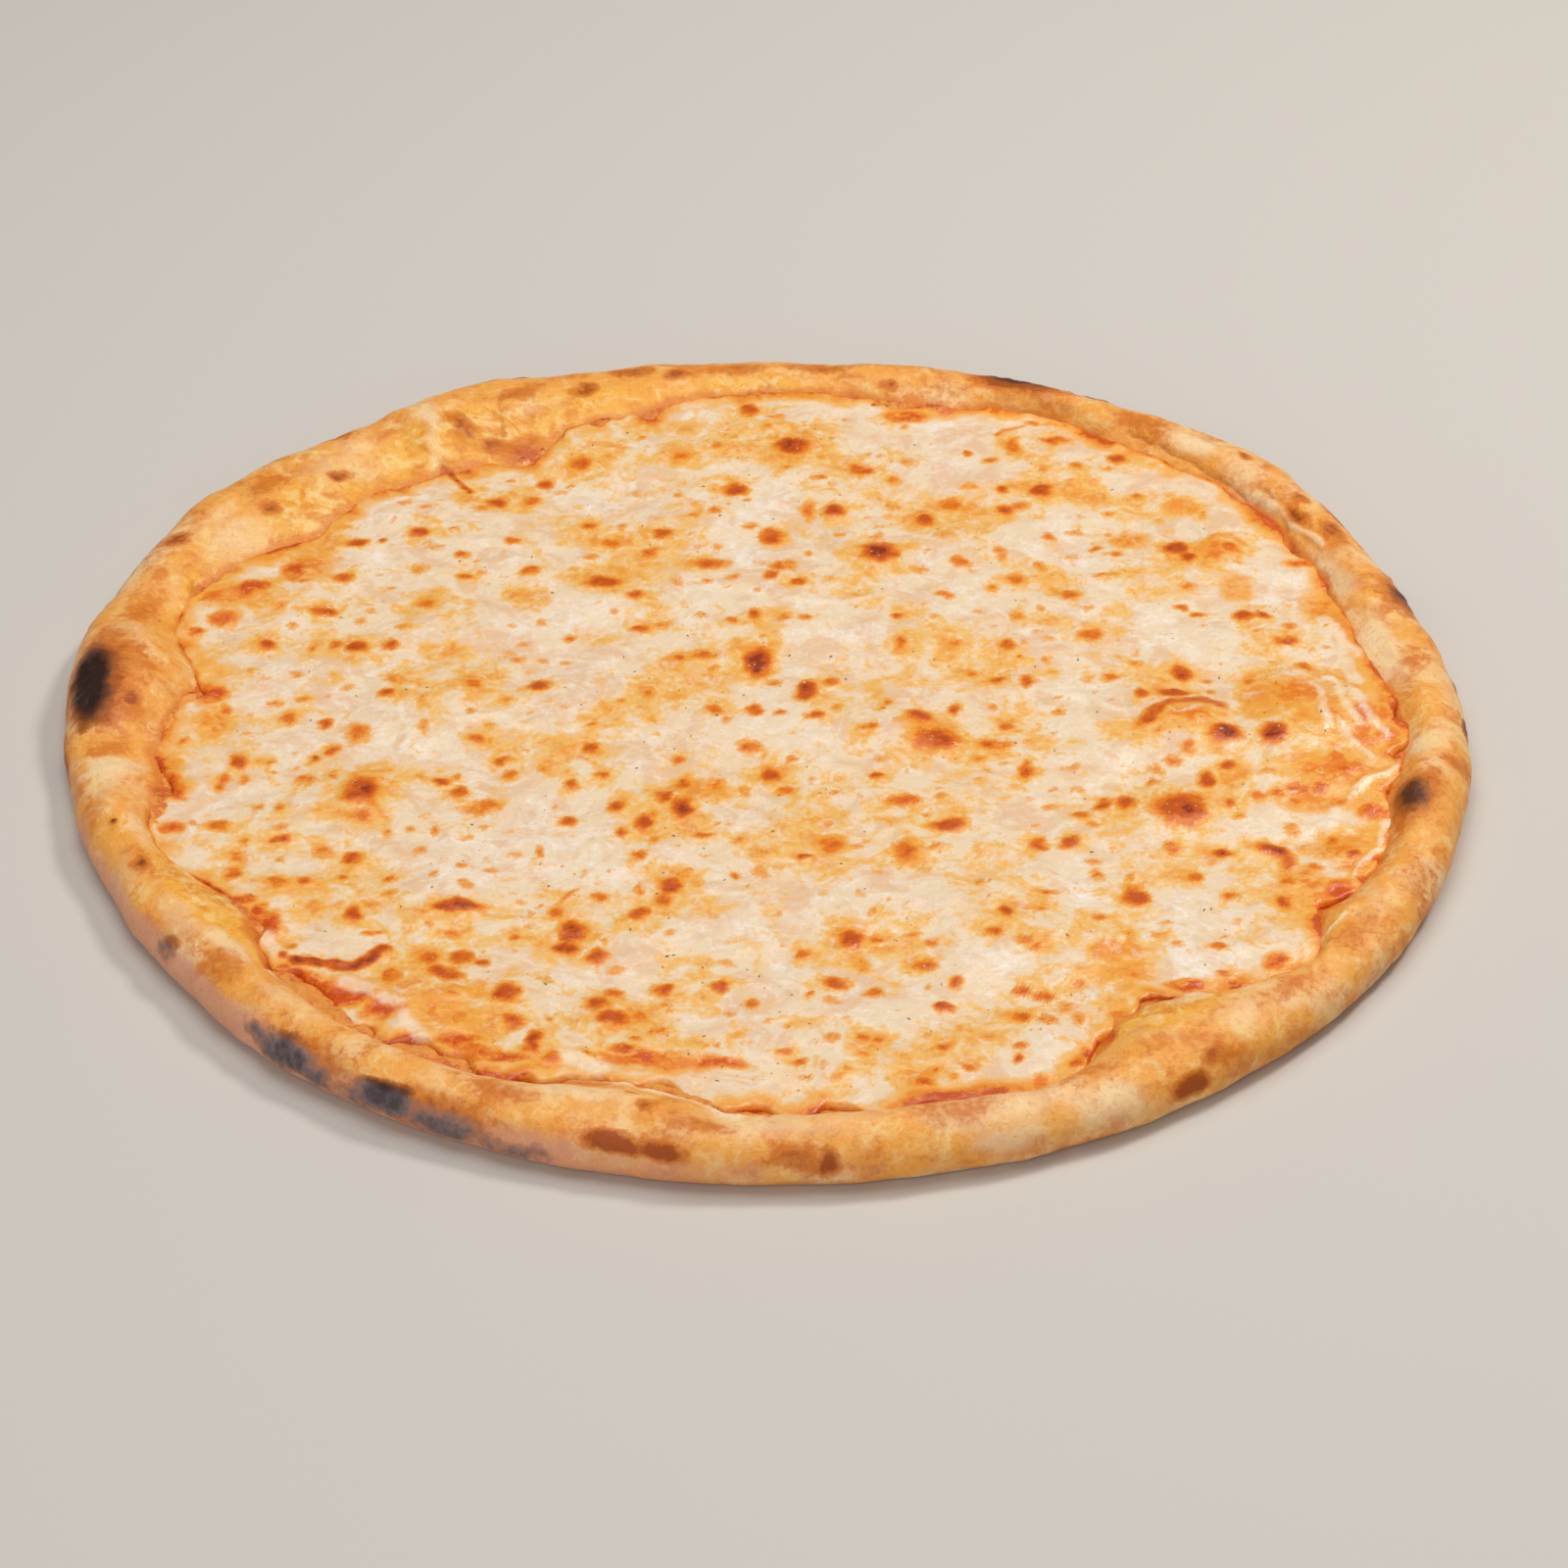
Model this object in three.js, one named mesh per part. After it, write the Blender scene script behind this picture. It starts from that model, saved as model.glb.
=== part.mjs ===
// A baked margherita pizza, whole and uncut, lying flat. Millimetres, +Z up, with the origin at
// the middle of the flat underside. Directions are in degrees, anticlockwise from +X seen from
// above; -Y is the side towards the viewer. The pizza is three solids: the dough with its puffed
// crust, the tomato sauce that lies in the dough's hollow, and the melted cheese on the sauce.
import * as THREE from "three";

// Driving dimensions
const CRUST_RADIUS = 159.6;
const WELL_RADIUS = 144.5;
const BASE_THICKNESS = 3.2;
const CRUST_HEIGHT = 11.4;
const SAUCE_THICKNESS = 1.0;
const CHEESE_THICKNESS = 2.3;
const CLEARANCE = 0.3;

// How the crust is rounded
const WALL_RUN = 3.5; // the hollow's wall leans outwards by this much
const WALL_LEVEL = 6.6; // height at which the topping meets the crust
const OUTER_ROUND = 8.5; // from the crest out to the widest place
const FOOT_TUCK = 3.8; // from the widest place in to the underside
const BELLY_SHARE = 0.42; // height of the widest place, as a share of the crest's

// How finely the solids are stepped
const TURN_STEPS = 120;
const SLOPE_STEPS = 5;
const ROUND_STEPS = 8;
const CHEESE_RINGS = 14;

// A lobe is a soft swelling of a size round the pizza: [direction, half width in degrees, mm].
// The outline swells at the back right and the back left, and is a little flat at the front left.
const OUTLINE_LOBES = [
  [43, 11, 6.4],
  [14, 8, -1.2],
  [66, 9, 1.4],
  [118, 6, 4],
  [148, 14, 5.8],
  [171, 9, 3],
  [209, 17, -2.8],
  [298, 42, 1.8],
];

// The crust reaches in over the hollow where a lobe is negative. The broad stretch is at the
// back left, and narrow tongues of dough reach in on the left, at the front and on the right.
const WELL_LOBES = [
  [11, 8, -6],
  [38, 7, 2.5],
  [62, 6, 5],
  [77, 7, -2.5],
  [122, 22, -16.5],
  [146, 7, -8],
  [176, 7, -12.5],
  [190, 7, -6.5],
  [214, 8, -9.5],
  [258, 6, -7.5],
  [291, 4.5, 3],
  [306, 5.5, -11.5],
  [320, 2.8, 5.5],
  [327, 2.5, -3],
  [336, 4, 2],
  [346, 3, -2],
];

const CREST_LOBES = [
  [92, 16, -1.6],
  [122, 5, 2],
  [150, 14, 0.6],
  [176, 8, 2.6],
  [188, 3.5, -1.6],
  [232, 14, 0.8],
  [305, 9, 0.8],
  [346, 8, 1.2],
];

// The sauce keeps this far inside the hollow's wall. It starts to climb the wall where the cheese
// leaves the first of these widths to it, and is fully up at the second
const WALL_MARGIN = 0.5;
const ROOM_TO_START = 2.5;
const ROOM_TO_FILL = 5;

// Width of bare sauce between the cheese and the crust
const BARE_SAUCE = 1.5;
const BARE_SAUCE_LOBES = [
  [75, 6, 4],
  [110, 8, 4],
  [160, 8, 2.5],
  [180, 4, 5],
  [196, 4, 5],
  [214, 3, 4],
  [229, 7, 6],
  [243, 7, 5],
  [262, 6, 5],
  [274, 4, 3],
  [297, 4, 3],
  [307, 4, 2],
  [319, 2.5, 3],
  [342, 4, 5],
  [354, 4, 5],
];

// Folds, blisters and hollows of the crust:
// direction, distance from the centre, half length along the crust, half width across it, height
const CRUST_FORMS = [
  { at: 126, from: 143, along: 3.6, across: 14, high: 2.8 }, // folded ridge, back left
  { at: 119, from: 135, along: 6, across: 7, high: -1.8 }, // pocket beside the fold
  { at: 45, from: 152, along: 14, across: 3.6, high: 2.2 }, // pale tongue, back right
  { at: 45, from: 147, along: 14, across: 2.2, high: -1.4 }, // crease under the tongue
  { at: 175.5, from: 143, along: 14, across: 11, high: 3.4 }, // large blister, left
  { at: 187.5, from: 146, along: 4.5, across: 8, high: -2 }, // pale valley next to it
  { at: 198, from: 150, along: 9, across: 6, high: 1.2 },
  { at: 219, from: 141, along: 10, across: 5, high: -1.2 }, // pale hollow, front left
  { at: 258, from: 145, along: 12, across: 4.2, high: 2 }, // pale swelling, front
  { at: 267, from: 149, along: 4, across: 4, high: -1.4 },
  { at: 305, from: 143, along: 13, across: 7, high: 1.2 }, // broad tongue, front right
  { at: 327, from: 147, along: 5.5, across: 5, high: 1.4 },
  { at: 345.5, from: 148, along: 8, across: 5.5, high: 2 }, // charred swelling, right
];

// Bubbles of the cheese: place, radius and height
const CHEESE_BUBBLES = [
  { x: 125, y: -6, radius: 17, high: 3.6 }, // the large thin-skinned bubble, right
  { x: 96, y: -8, radius: 10, high: 2.4 },
  { x: 115, y: -14, radius: 6, high: 1.2 },
  { x: 92, y: -39, radius: 9, high: 1 },
  { x: 103, y: 61, radius: 12, high: 1.2 },
  { x: 37, y: -10, radius: 10, high: 1.2 },
  { x: -91, y: -35, radius: 9, high: 1.3 },
  { x: -78, y: 3, radius: 9, high: 1.2 },
  { x: -115, y: 38, radius: 9, high: 1.1 },
  { x: 47, y: -48, radius: 12, high: 0.9 },
];

// Gentle swells of the cheese
const SWELL_COUNT = 9;
const SWELL_HEIGHT = 0.16;
const SWELL_LONGEST = 70;
const SWELL_SHORTEST = 26;
const SWELL_SEED = 11;

const FULL_TURN = 2 * Math.PI;
const SAUCE_BOTTOM = BASE_THICKNESS + CLEARANCE;
const SAUCE_TOP = SAUCE_BOTTOM + SAUCE_THICKNESS;
const CHEESE_BOTTOM = SAUCE_TOP + CLEARANCE;
const CHEESE_TOP = CHEESE_BOTTOM + CHEESE_THICKNESS;

const bell = (offset) => Math.exp(-offset * offset);

// Signed difference of two directions, from -180 to 180 degrees
function turnBetween(from, to) {
  return ((((to - from) % 360) + 540) % 360) - 180;
}

function sumOfLobes(lobes, direction) {
  return lobes.reduce(
    (sum, [at, width, amount]) => sum + amount * bell(turnBetween(at, direction) / width),
    0,
  );
}

// A small seeded random source, so that every build has the same swells
function seededRandom(seed) {
  let state = seed;
  return () => {
    state = (Math.imul(state, 1664525) + 1013904223) >>> 0;
    return state / 4294967296;
  };
}

const outerRadius = (direction) => CRUST_RADIUS + sumOfLobes(OUTLINE_LOBES, direction);
const wellRadius = (direction) => WELL_RADIUS + sumOfLobes(WELL_LOBES, direction);
const crestHeight = (direction) => CRUST_HEIGHT + sumOfLobes(CREST_LOBES, direction);
const cheeseEdge = (direction) =>
  wellRadius(direction) - BARE_SAUCE - sumOfLobes(BARE_SAUCE_LOBES, direction);

// Height that the folds and blisters add to the crust at a place on it
function crustForm(direction, radius) {
  return CRUST_FORMS.reduce((sum, form) => {
    const arc = (turnBetween(form.at, direction) / 360) * FULL_TURN * form.from;
    const out = radius - form.from;
    return sum + form.high * bell(arc / form.along) * bell(out / form.across);
  }, 0);
}

function makeSwells() {
  const random = seededRandom(SWELL_SEED);
  return Array.from({ length: SWELL_COUNT }, () => {
    const heading = random() * FULL_TURN;
    const length = SWELL_SHORTEST + random() * (SWELL_LONGEST - SWELL_SHORTEST);
    const rate = FULL_TURN / length;
    return {
      alongX: rate * Math.cos(heading),
      alongY: rate * Math.sin(heading),
      phase: random() * FULL_TURN,
    };
  });
}

const swells = makeSwells();

function cheeseSurface(x, y) {
  const swell = swells.reduce(
    (sum, wave) => sum + Math.sin(wave.alongX * x + wave.alongY * y + wave.phase),
    0,
  );
  const bubbles = CHEESE_BUBBLES.reduce(
    (sum, bubble) =>
      sum + bubble.high * bell(Math.hypot(x - bubble.x, y - bubble.y) / bubble.radius),
    0,
  );
  return CHEESE_TOP + SWELL_HEIGHT * swell + bubbles;
}

// A section is a list of [radius, height] stations from the axis, over the top or the underside,
// and back to the axis. The lathe turns the first section, and then each of its copies is
// set to the section of its own direction.
function turnedSolid(sectionAt) {
  const first = sectionAt(0).map(([radius, height]) => new THREE.Vector2(radius, height));
  const geometry = new THREE.LatheGeometry(first, TURN_STEPS);
  const position = geometry.getAttribute("position");
  for (let step = 0; step <= TURN_STEPS; step++) {
    const angle = (FULL_TURN * (step % TURN_STEPS)) / TURN_STEPS;
    sectionAt(THREE.MathUtils.radToDeg(angle)).forEach(([radius, height], station) => {
      position.setXYZ(
        step * first.length + station,
        radius * Math.cos(angle),
        radius * Math.sin(angle),
        height,
      );
    });
  }
  geometry.computeVertexNormals();
  return geometry;
}

// Dough: floor of the hollow, leaning wall, slope up to the crest, rounded outside, underside
function doughSection(direction) {
  const outer = outerRadius(direction);
  const well = wellRadius(direction);
  const crest = crestHeight(direction);
  const crestRadius = outer - OUTER_ROUND;
  const belly = crest * BELLY_SHARE;
  const section = [
    [0, BASE_THICKNESS],
    [well - WALL_RUN, BASE_THICKNESS],
    [well, WALL_LEVEL],
  ];
  for (let step = 1; step <= SLOPE_STEPS; step++) {
    const share = step / SLOPE_STEPS;
    const radius = well + share * (crestRadius - well);
    const rise = (crest - WALL_LEVEL) * Math.sin((share * Math.PI) / 2);
    const form = crustForm(direction, radius) * Math.min(1, 2 * share);
    section.push([radius, WALL_LEVEL + rise + form]);
  }
  for (let step = 1; step <= ROUND_STEPS; step++) {
    const angle = Math.PI / 2 - (step / ROUND_STEPS) * (Math.PI * 0.92);
    const reach = Math.cos(angle);
    const above = Math.sin(angle) > 0;
    const round = above ? OUTER_ROUND : FOOT_TUCK;
    const radius = outer - round + round * reach;
    const form = above ? crustForm(direction, radius) * Math.sin(angle) : 0;
    section.push([radius, belly + (above ? crest - belly : belly) * Math.sin(angle) + form]);
  }
  section.push([outer - FOOT_TUCK, 0], [0, 0]);
  return section.reverse();
}

// Sauce: a thin sheet that climbs the hollow's wall where the cheese leaves room for it, and
// stays flat under the cheese's edge elsewhere
function sauceSection(direction) {
  const well = wellRadius(direction);
  const cheese = cheeseEdge(direction);
  const lean = WALL_RUN / (WALL_LEVEL - BASE_THICKNESS);
  const wallAt = (height) => well - WALL_MARGIN - (WALL_LEVEL - height) * lean;
  const climb = THREE.MathUtils.smoothstep(well - cheese, ROOM_TO_START, ROOM_TO_FILL);
  const lip = SAUCE_TOP + climb * (WALL_LEVEL - SAUCE_TOP);
  const inner = Math.min(cheese + 2 * CLEARANCE, wallAt(lip) - 0.8);
  return [
    [0, SAUCE_BOTTOM],
    [wallAt(SAUCE_BOTTOM), SAUCE_BOTTOM],
    [wallAt(lip), lip],
    [(wallAt(lip) + inner) / 2, lip - 0.3 * climb],
    [inner, SAUCE_TOP + 0.6 * climb],
    [Math.min(cheese - 2, inner - 1), SAUCE_TOP],
    [0, SAUCE_TOP],
  ];
}

// Cheese: a sheet with a rounded, uneven edge, thinner towards it
function cheeseSection(direction) {
  const edge = cheeseEdge(direction);
  const angle = THREE.MathUtils.degToRad(direction);
  const surface = (radius) => cheeseSurface(radius * Math.cos(angle), radius * Math.sin(angle));
  const section = [
    [0, CHEESE_BOTTOM],
    [edge - 0.8, CHEESE_BOTTOM],
    [edge, CHEESE_BOTTOM + 0.9],
    [edge - 0.7, CHEESE_BOTTOM + 1.7],
  ];
  for (let ring = CHEESE_RINGS; ring >= 0; ring--) {
    const radius = (edge - 3) * (ring / CHEESE_RINGS) ** 0.9;
    section.push([radius, surface(radius)]);
  }
  return section;
}

function bakedDough() {
  const material = new THREE.MeshStandardMaterial({ color: 0xdc9a52, roughness: 0.6 });
  return new THREE.Mesh(turnedSolid(doughSection), material);
}

function tomatoSauce() {
  const material = new THREE.MeshStandardMaterial({ color: 0xc94a1e, roughness: 0.35 });
  return new THREE.Mesh(turnedSolid(sauceSection), material);
}

function meltedCheese() {
  const material = new THREE.MeshStandardMaterial({ color: 0xecd9b8, roughness: 0.4 });
  return new THREE.Mesh(turnedSolid(cheeseSection), material);
}

const pizza = new THREE.Group();
for (const [name, make] of [
  ["dough", bakedDough],
  ["tomato_sauce", tomatoSauce],
  ["melted_cheese", meltedCheese],
]) {
  const mesh = make();
  mesh.name = name;
  pizza.add(mesh);
}

export default pizza;
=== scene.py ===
import math
import random

import bmesh
import bpy
import numpy as np
from bpy.props import FloatProperty, FloatVectorProperty, IntProperty, PointerProperty
from mathutils import Matrix, Vector, noise
from mathutils.bvhtree import BVHTree


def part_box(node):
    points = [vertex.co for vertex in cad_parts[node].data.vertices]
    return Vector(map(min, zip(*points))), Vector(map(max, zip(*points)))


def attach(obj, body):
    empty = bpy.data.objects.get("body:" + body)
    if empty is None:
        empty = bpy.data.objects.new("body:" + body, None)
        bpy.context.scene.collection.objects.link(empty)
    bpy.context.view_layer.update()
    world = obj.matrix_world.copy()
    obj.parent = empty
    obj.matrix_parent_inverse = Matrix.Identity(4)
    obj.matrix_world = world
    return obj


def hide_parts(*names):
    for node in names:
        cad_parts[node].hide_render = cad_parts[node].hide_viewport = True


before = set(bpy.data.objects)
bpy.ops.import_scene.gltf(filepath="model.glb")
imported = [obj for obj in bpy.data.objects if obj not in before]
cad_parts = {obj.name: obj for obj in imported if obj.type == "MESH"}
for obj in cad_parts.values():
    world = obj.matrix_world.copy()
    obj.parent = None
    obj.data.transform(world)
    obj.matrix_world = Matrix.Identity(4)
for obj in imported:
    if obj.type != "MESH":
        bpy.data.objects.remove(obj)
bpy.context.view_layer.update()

bl_info = {
    "name": "Margherita pizza",
    "version": (1, 0, 0),
    "blender": (4, 5, 0),
    "location": "3D View > Sidebar > Pizza",
    "description": "Bakes the looks of a margherita pizza round its packed part",
    "category": "Object",
}

MM = 0.001

# The camera stands at the photograph's angle, straight in front of the pizza, with its height
# over the floor as an angle in degrees, its distance in metres and its lens in millimetres
CAMERA_TARGET = Vector((4.05, -20.17, 0)) * MM
CAMERA_ELEVATION = 35.5
CAMERA_DISTANCE = 0.95
CAMERA_LENS = 96.53

# Directions all round at which the edges of the cheese and the sauce are found, in degrees
DIRECTIONS = np.arange(0, 360, 0.5)

# Higher than the pizza, in millimetres, so that lines down from there meet its top
SKY = 60

# Heights over the undersides of the solids, in millimetres, at which the edge of each topping
# and the wall of the crust beside it are measured
CHEESE_EDGE_HEIGHT, CHEESE_WALL_HEIGHT = 0.95, 2.2
SAUCE_EDGE_HEIGHT, SAUCE_WALL_HEIGHT = 0.9, 2.9

# The crust's rim begins and is full at these distances from the middle
RIM_START, RIM_FULL = 120, 136
LIP_HEIGHT, CREASE_DEPTH = 0.85, 1.2

# Direction and spread, in degrees, of the side of the crust that is dusty with flour
DUSTY_SIDE = (228, 38)

# Marks on the cheese are in millimetres, seen from above, and sorted by strength: x, y, width,
# a height if it isn't the width, and a turn in degrees if there is one.
# The strength of a spot runs from a faint orange tint to nearly black
BROWN_SPOTS = {
    0.25: [
        (-21, 4.5, 6, 5),
    ],
    0.3: [
        (-33, 93.5, 4), (15.5, 55, 2.5), (-83, 59, 5), (43, 73, 5), (-97, 8.5, 3.5), (-52, 19.5, 3),
        (-59.7, -104.3, 4, 6), (3.3, -78.1, 2), (41.2, -116, 4, 2.5),
    ],
    0.35: [
        (14, 111, 3), (5, 106, 3.5), (-12, 68.5, 3.5), (-96, 36, 3), (35, 107, 4.5), (69, 104, 4),
        (27, 78, 2.5), (59, 38, 4), (-119.8, 14, 2.5), (-127.8, -6.5, 3), (-78.6, 2, 2, 5),
        (-77.6, -47, 3), (-66, -61.4, 2.5), (-81.2, -70.8, 3, 2.5), (-56.8, 26, 3, 2.3),
        (-46.8, 18.8, 2.5), (-12, 16.5, 3, 3.5), (-36.8, -0.5, 3.5, 4.5), (-26, -5.5, 2, 3),
        (-9, -5, 2.5, 3.5), (87.5, -25, 4), (-96.7, -75, 4, 5), (-67, -85.3, 5, 4),
        (23, -77.8, 2.5, 3), (15, -133.5, 3.5, 3), (45.7, -119.7, 3, 2.5),
    ],
    0.4: [
        (-12, 116, 4.5), (-22, 92, 2.5), (76.5, 105, 4), (50, 97, 3.5), (62, 88, 5), (31, 88, 4),
        (27, 73.5, 3.5), (56.5, 65, 3, 7), (66, 60.5, 4), (54, 50, 3), (100.5, 50, 4),
        (-105.7, 24.6, 2.5), (-85.8, 33, 3), (-87, 11.5, 3.5), (-59.5, 1.5, 2.5),
        (-111.6, -20.8, 4, 3), (-77, -26.7, 3), (-62.6, -39, 10, 6.5), (-112.4, -39.5, 3, 4),
        (-83.4, -48.6, 2.5), (-96.9, -55, 5, 5.5), (-115.1, -57, 5, 6), (-75.2, -55.3, 3, 4),
        (-25, 35, 5, 4), (4, 37.5, 4, 3), (16, -0.5, 3, 3.5), (-40, -7.5, 3, 2.6),
        (-50, -24.5, 3, 4), (-5.5, -52.3, 3.5, 2.5), (-0.8, -56, 3, 2.5), (63, -38.5, 3.5, 2.5),
        (91.7, -22.5, 3.5, 4.5), (115.4, -47.8, 4, 4.5), (98.4, -85.8, 2.5, 1.8),
        (-73.6, -77.5, 3, 2), (-5.9, -64.5, 2, 3), (20.5, -94.7, 4, 6), (-7, -112.4, 2.5, 2),
        (20.5, -125.5, 3, 2), (16.8, -130.5, 2, 2.5), (77.2, -84.9, 2.5, 3),
        (83, -85.3, 3.5, 2.5, 20), (62.6, -109, 4), (53, -122.5, 3.5, 3),
    ],
    0.45: [
        (55.5, 108, 3.5), (84, 65, 3.5), (-112.2, 1, 4, 2), (-103, -28.5, 5), (-89, -43, 5.5),
        (-69.6, -26.7, 2.3, 3.5), (-107.8, -39.5, 2.5, 4), (-113.7, -52.2, 3),
        (-72.7, -47.6, 3, 3.5), (-81.4, -65, 3.5, 3), (9, 37, 4, 3), (-11.5, -30.5, 5, 6),
        (-4.3, -33, 2.5, 4), (16.5, -28, 2.5, 2), (31.7, 26, 3.5, 8), (47.8, 14.8, 4.5, 3.3),
        (86.3, -29.7, 3), (70, -41, 5, 3.5), (37, -54, 4, 2.5), (117.7, -37.3, 4, 2.2),
        (-53, -86.3, 3), (-42.5, -72, 7, 2, 50), (79.3, -65.2, 2.5, 3), (65, -113, 3, 4),
        (39, -133.7, 3, 2.5),
    ],
    0.48: [
        (31.4, -84.5, 4, 2.5),
    ],
    0.5: [
        (-13, 85, 4), (-18, 83, 2.5), (10, 86, 4, 9), (-4, 78, 3), (-38, 70, 5), (4, 60, 6, 5),
        (-74, 65, 4), (-81, 43.5, 5), (31.5, 98.5, 4), (61.5, 115, 4, 9), (58, 134.5, 4.5),
        (45, 88.5, 6), (79.5, 68, 3.5), (46.5, 61, 5), (60, 54, 5), (81, 55.5, 7, 2), (98, 42, 3.5),
        (102, 5.7, 3), (111, 10, 3.5), (-123.4, -2, 4), (-106.3, 2, 3), (-108.9, -5, 4.5, 6),
        (-92.8, -11, 6, 9), (-77.9, -8, 3.5, 4.5), (-57.5, -26, 3), (-121.4, -29, 3, 6.5),
        (-117, -28, 2.5, 4), (-92, -65, 3), (-46.5, 29, 2.5, 3.5), (-8, 35.5, 3.5, 2.5),
        (-20, 20.6, 3, 4), (-14.5, 22.3, 7, 4.5), (15, 10.5, 4.5, 3), (-27.4, 5, 3, 4),
        (3, -2.3, 3.5, 2.7), (-3.8, -15, 5.5, 4.5), (-20, -21, 3, 3.5), (4.6, -31.8, 4.3, 4),
        (-49, -56, 2.5, 5), (14, -53, 7, 8), (43.8, 26.5, 3, 3.5), (53.6, 11.6, 4.5, 3.5),
        (27.6, 1.3, 2.5, 3.5), (26.8, -1.8, 2, 2.6), (23.3, -9.5, 4, 2.6), (51.6, -15, 8, 4.5),
        (31, -37, 8.5, 4.5), (88.6, -54, 3.5, 6.5), (95, -18, 3, 4.5), (108.8, -35.2, 4, 3.3),
        (112.8, -66.5, 4, 6.5), (100, -72.5, 4.6, 2.8), (70.9, -79.7, 4, 3, -10),
        (-83.1, -84.4, 4.5, 2), (-100, -88.5, 2.5, 3), (-77.8, -98.4, 4, 6), (-44.9, -78, 4, 5),
        (23.6, -86.8, 3.5), (8, -91.8, 4), (-31.4, -105, 4), (-26.5, -121, 3, 2.5),
        (-35.8, -127, 5, 1.5, -30), (20.3, -120.6, 3), (60.8, -71, 4.3, 3), (59, -77, 3.3, 3),
        (35.7, -88, 4, 3.5), (55, -87.6, 5, 4, -30), (57.4, -90.3, 2.5), (53.5, -113, 4.5, 5),
        (59, -113.7, 4.5, 3), (42, -130, 4, 3, -20),
    ],
    0.55: [
        (-28.5, 66, 4.5), (72, 46.5, 5), (125, 16, 4), (-67.6, 9, 4.3, 5), (-132.5, -13.5, 2, 4.5),
        (-11.9, -0.5, 4, 5), (-36.2, -27, 3), (-43.1, -30.5, 4, 5), (-27.5, -57.5, 3.8, 4.3),
        (60.8, 10.8, 4.5), (43.3, -1.8, 3, 4.8), (54.5, -7.5, 3.7, 4.4), (31, -55.5, 7, 9),
        (103, -39, 3.5, 4.5), (113.6, -34.5, 5, 4.5), (123.2, -32.8, 4.4, 4.5),
        (119.7, -62, 4.3, 3), (92.2, -64.5, 4.7, 4.3), (96.4, -90, 3.8, 3), (96, -98.6, 3.6, 2.4),
        (-64.8, -106.5, 3, 2), (-35.4, -72.3, 4, 3), (9.3, -105.5, 2, 2.5),
        (22.8, -104.7, 4, 5.5, -40), (-25.6, -112.7, 4.5, 5), (-21.9, -118, 3.5, 3),
        (3.8, -124.4, 3, 2.5), (7.3, -128, 4, 1.8),
    ],
    0.6: [
        (-21.5, 110.5, 5), (-58, 89.5, 4.5), (23, 103.5, 6), (-43, 78, 4), (-62, 71, 3.5),
        (-14, 60.5, 9, 5), (1, 55.5, 4), (8, 52.5, 4), (-57, 57.5, 4), (-31, 46.5, 4.5),
        (-93, 71, 2.5), (-101.5, 54.5, 5), (-72, 55.5, 5, 2.5), (50, 112, 3), (72.5, 118, 8, 4),
        (42, 47, 5, 3), (31.5, 38, 3.5), (102, 39.5, 4.5, 2.5), (112, 67, 5), (79.5, 12, 4.5, 3),
        (76.6, 30, 6.5, 5.5), (-134, 31, 4), (-88.6, 25.7, 3.5, 5), (-65.6, -12, 4, 3.5),
        (-59.7, -21, 4, 5), (-101, -21, 3), (-68.3, -32.5, 4.8, 5), (-115.8, -62.5, 4, 4.5),
        (-105.3, -66.5, 4.5, 5), (-99.4, -66.7, 3.5), (-30, 33, 4.5, 3.5), (-2.8, 38, 3, 5.5),
        (-2.6, -0.5, 3.7, 4.5), (-43.6, -45, 4.5, 4.3), (-31.8, -49.5, 3, 4), (-13.6, -50, 4, 3.3),
        (-22, -73, 4, 5), (59, 20.3, 2), (103.7, -24.8, 4, 3.5), (124, -52, 3.5, 4.5),
        (-43.5, -128, 4, 3.5), (-2.1, -108.8, 3.3, 4), (23.7, -121.3, 3, 2.6),
        (32, -135.6, 4.5, 3.5), (58.4, -105.8, 6, 3), (37, -123.7, 3.7, 4), (52, -127, 2.5, 3.5),
        (34.5, -132, 2.5, 1.5),
    ],
    0.65: [
        (-25, 74, 5.5), (58, 95, 3.5), (58.5, 86, 5), (68, 73, 4), (121.5, 26, 6.5, 4),
        (86.3, 5.3, 3.7, 4), (-87, 5.5, 3.5, 4), (-100.5, -7, 4), (-97.8, -17.3, 3.5, 4.5),
        (-73, -28.5, 3.5, 3), (-120.4, -45.8, 5), (-52.8, 8, 6.5, 5), (10.7, -4, 4.5, 3.5),
        (-39.5, -16.5, 5, 4.5), (-19, -30.5, 3.7, 4.3), (55.7, 25, 4.3, 5.5),
        (58.3, -25.5, 3.5, 6.8), (75, -37.4, 3.7, 5), (60, -53, 4.3, 5.7), (111.9, -73.8, 4.2, 5.6),
        (-70.7, -93, 5), (-63.9, -92.6, 5), (-59.7, -95.2, 3.5, 3), (-52.2, -115.2, 5, 6),
        (-27.2, -78, 4.5, 5.5), (-35.6, -92.5, 5), (15, -101.4, 7, 4), (33.3, -95.3, 4.5, 4),
        (-9.7, -102.9, 4), (-21.5, -103.3, 4.5), (-35, -108.8, 6), (48.3, -85, 4.3, 3.5),
        (39.8, -101.2, 3, 3.5),
    ],
    0.7: [
        (-5, 134, 5), (-47, 107, 6), (-55, 98, 4.5), (-66.5, 89, 5), (-104, 40, 6, 4),
        (87.5, 108.5, 5), (-118.2, -21.2, 4, 6.5), (-22.4, -35.5, 4, 5.5), (-32.8, -39, 4.5, 4),
        (-26.2, -45.5, 4.5, 7.5), (8.3, -57.5, 3.3, 1.7), (25, -27, 4.2, 3),
        (80.4, -37.7, 5.5, 5.8), (98.2, -30, 4.4, 7), (66.3, -52, 4.5), (114, -60, 3, 5),
        (128.1, -56.5, 3.5), (-101.4, -92.2, 3), (37.7, -109, 5, 3.7),
    ],
    0.75: [
        (16.5, 85, 5.5), (1, 74, 6), (-39, 53, 8.5, 6), (-100, 70.5, 6, 4), (-85, 75, 5),
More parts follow.
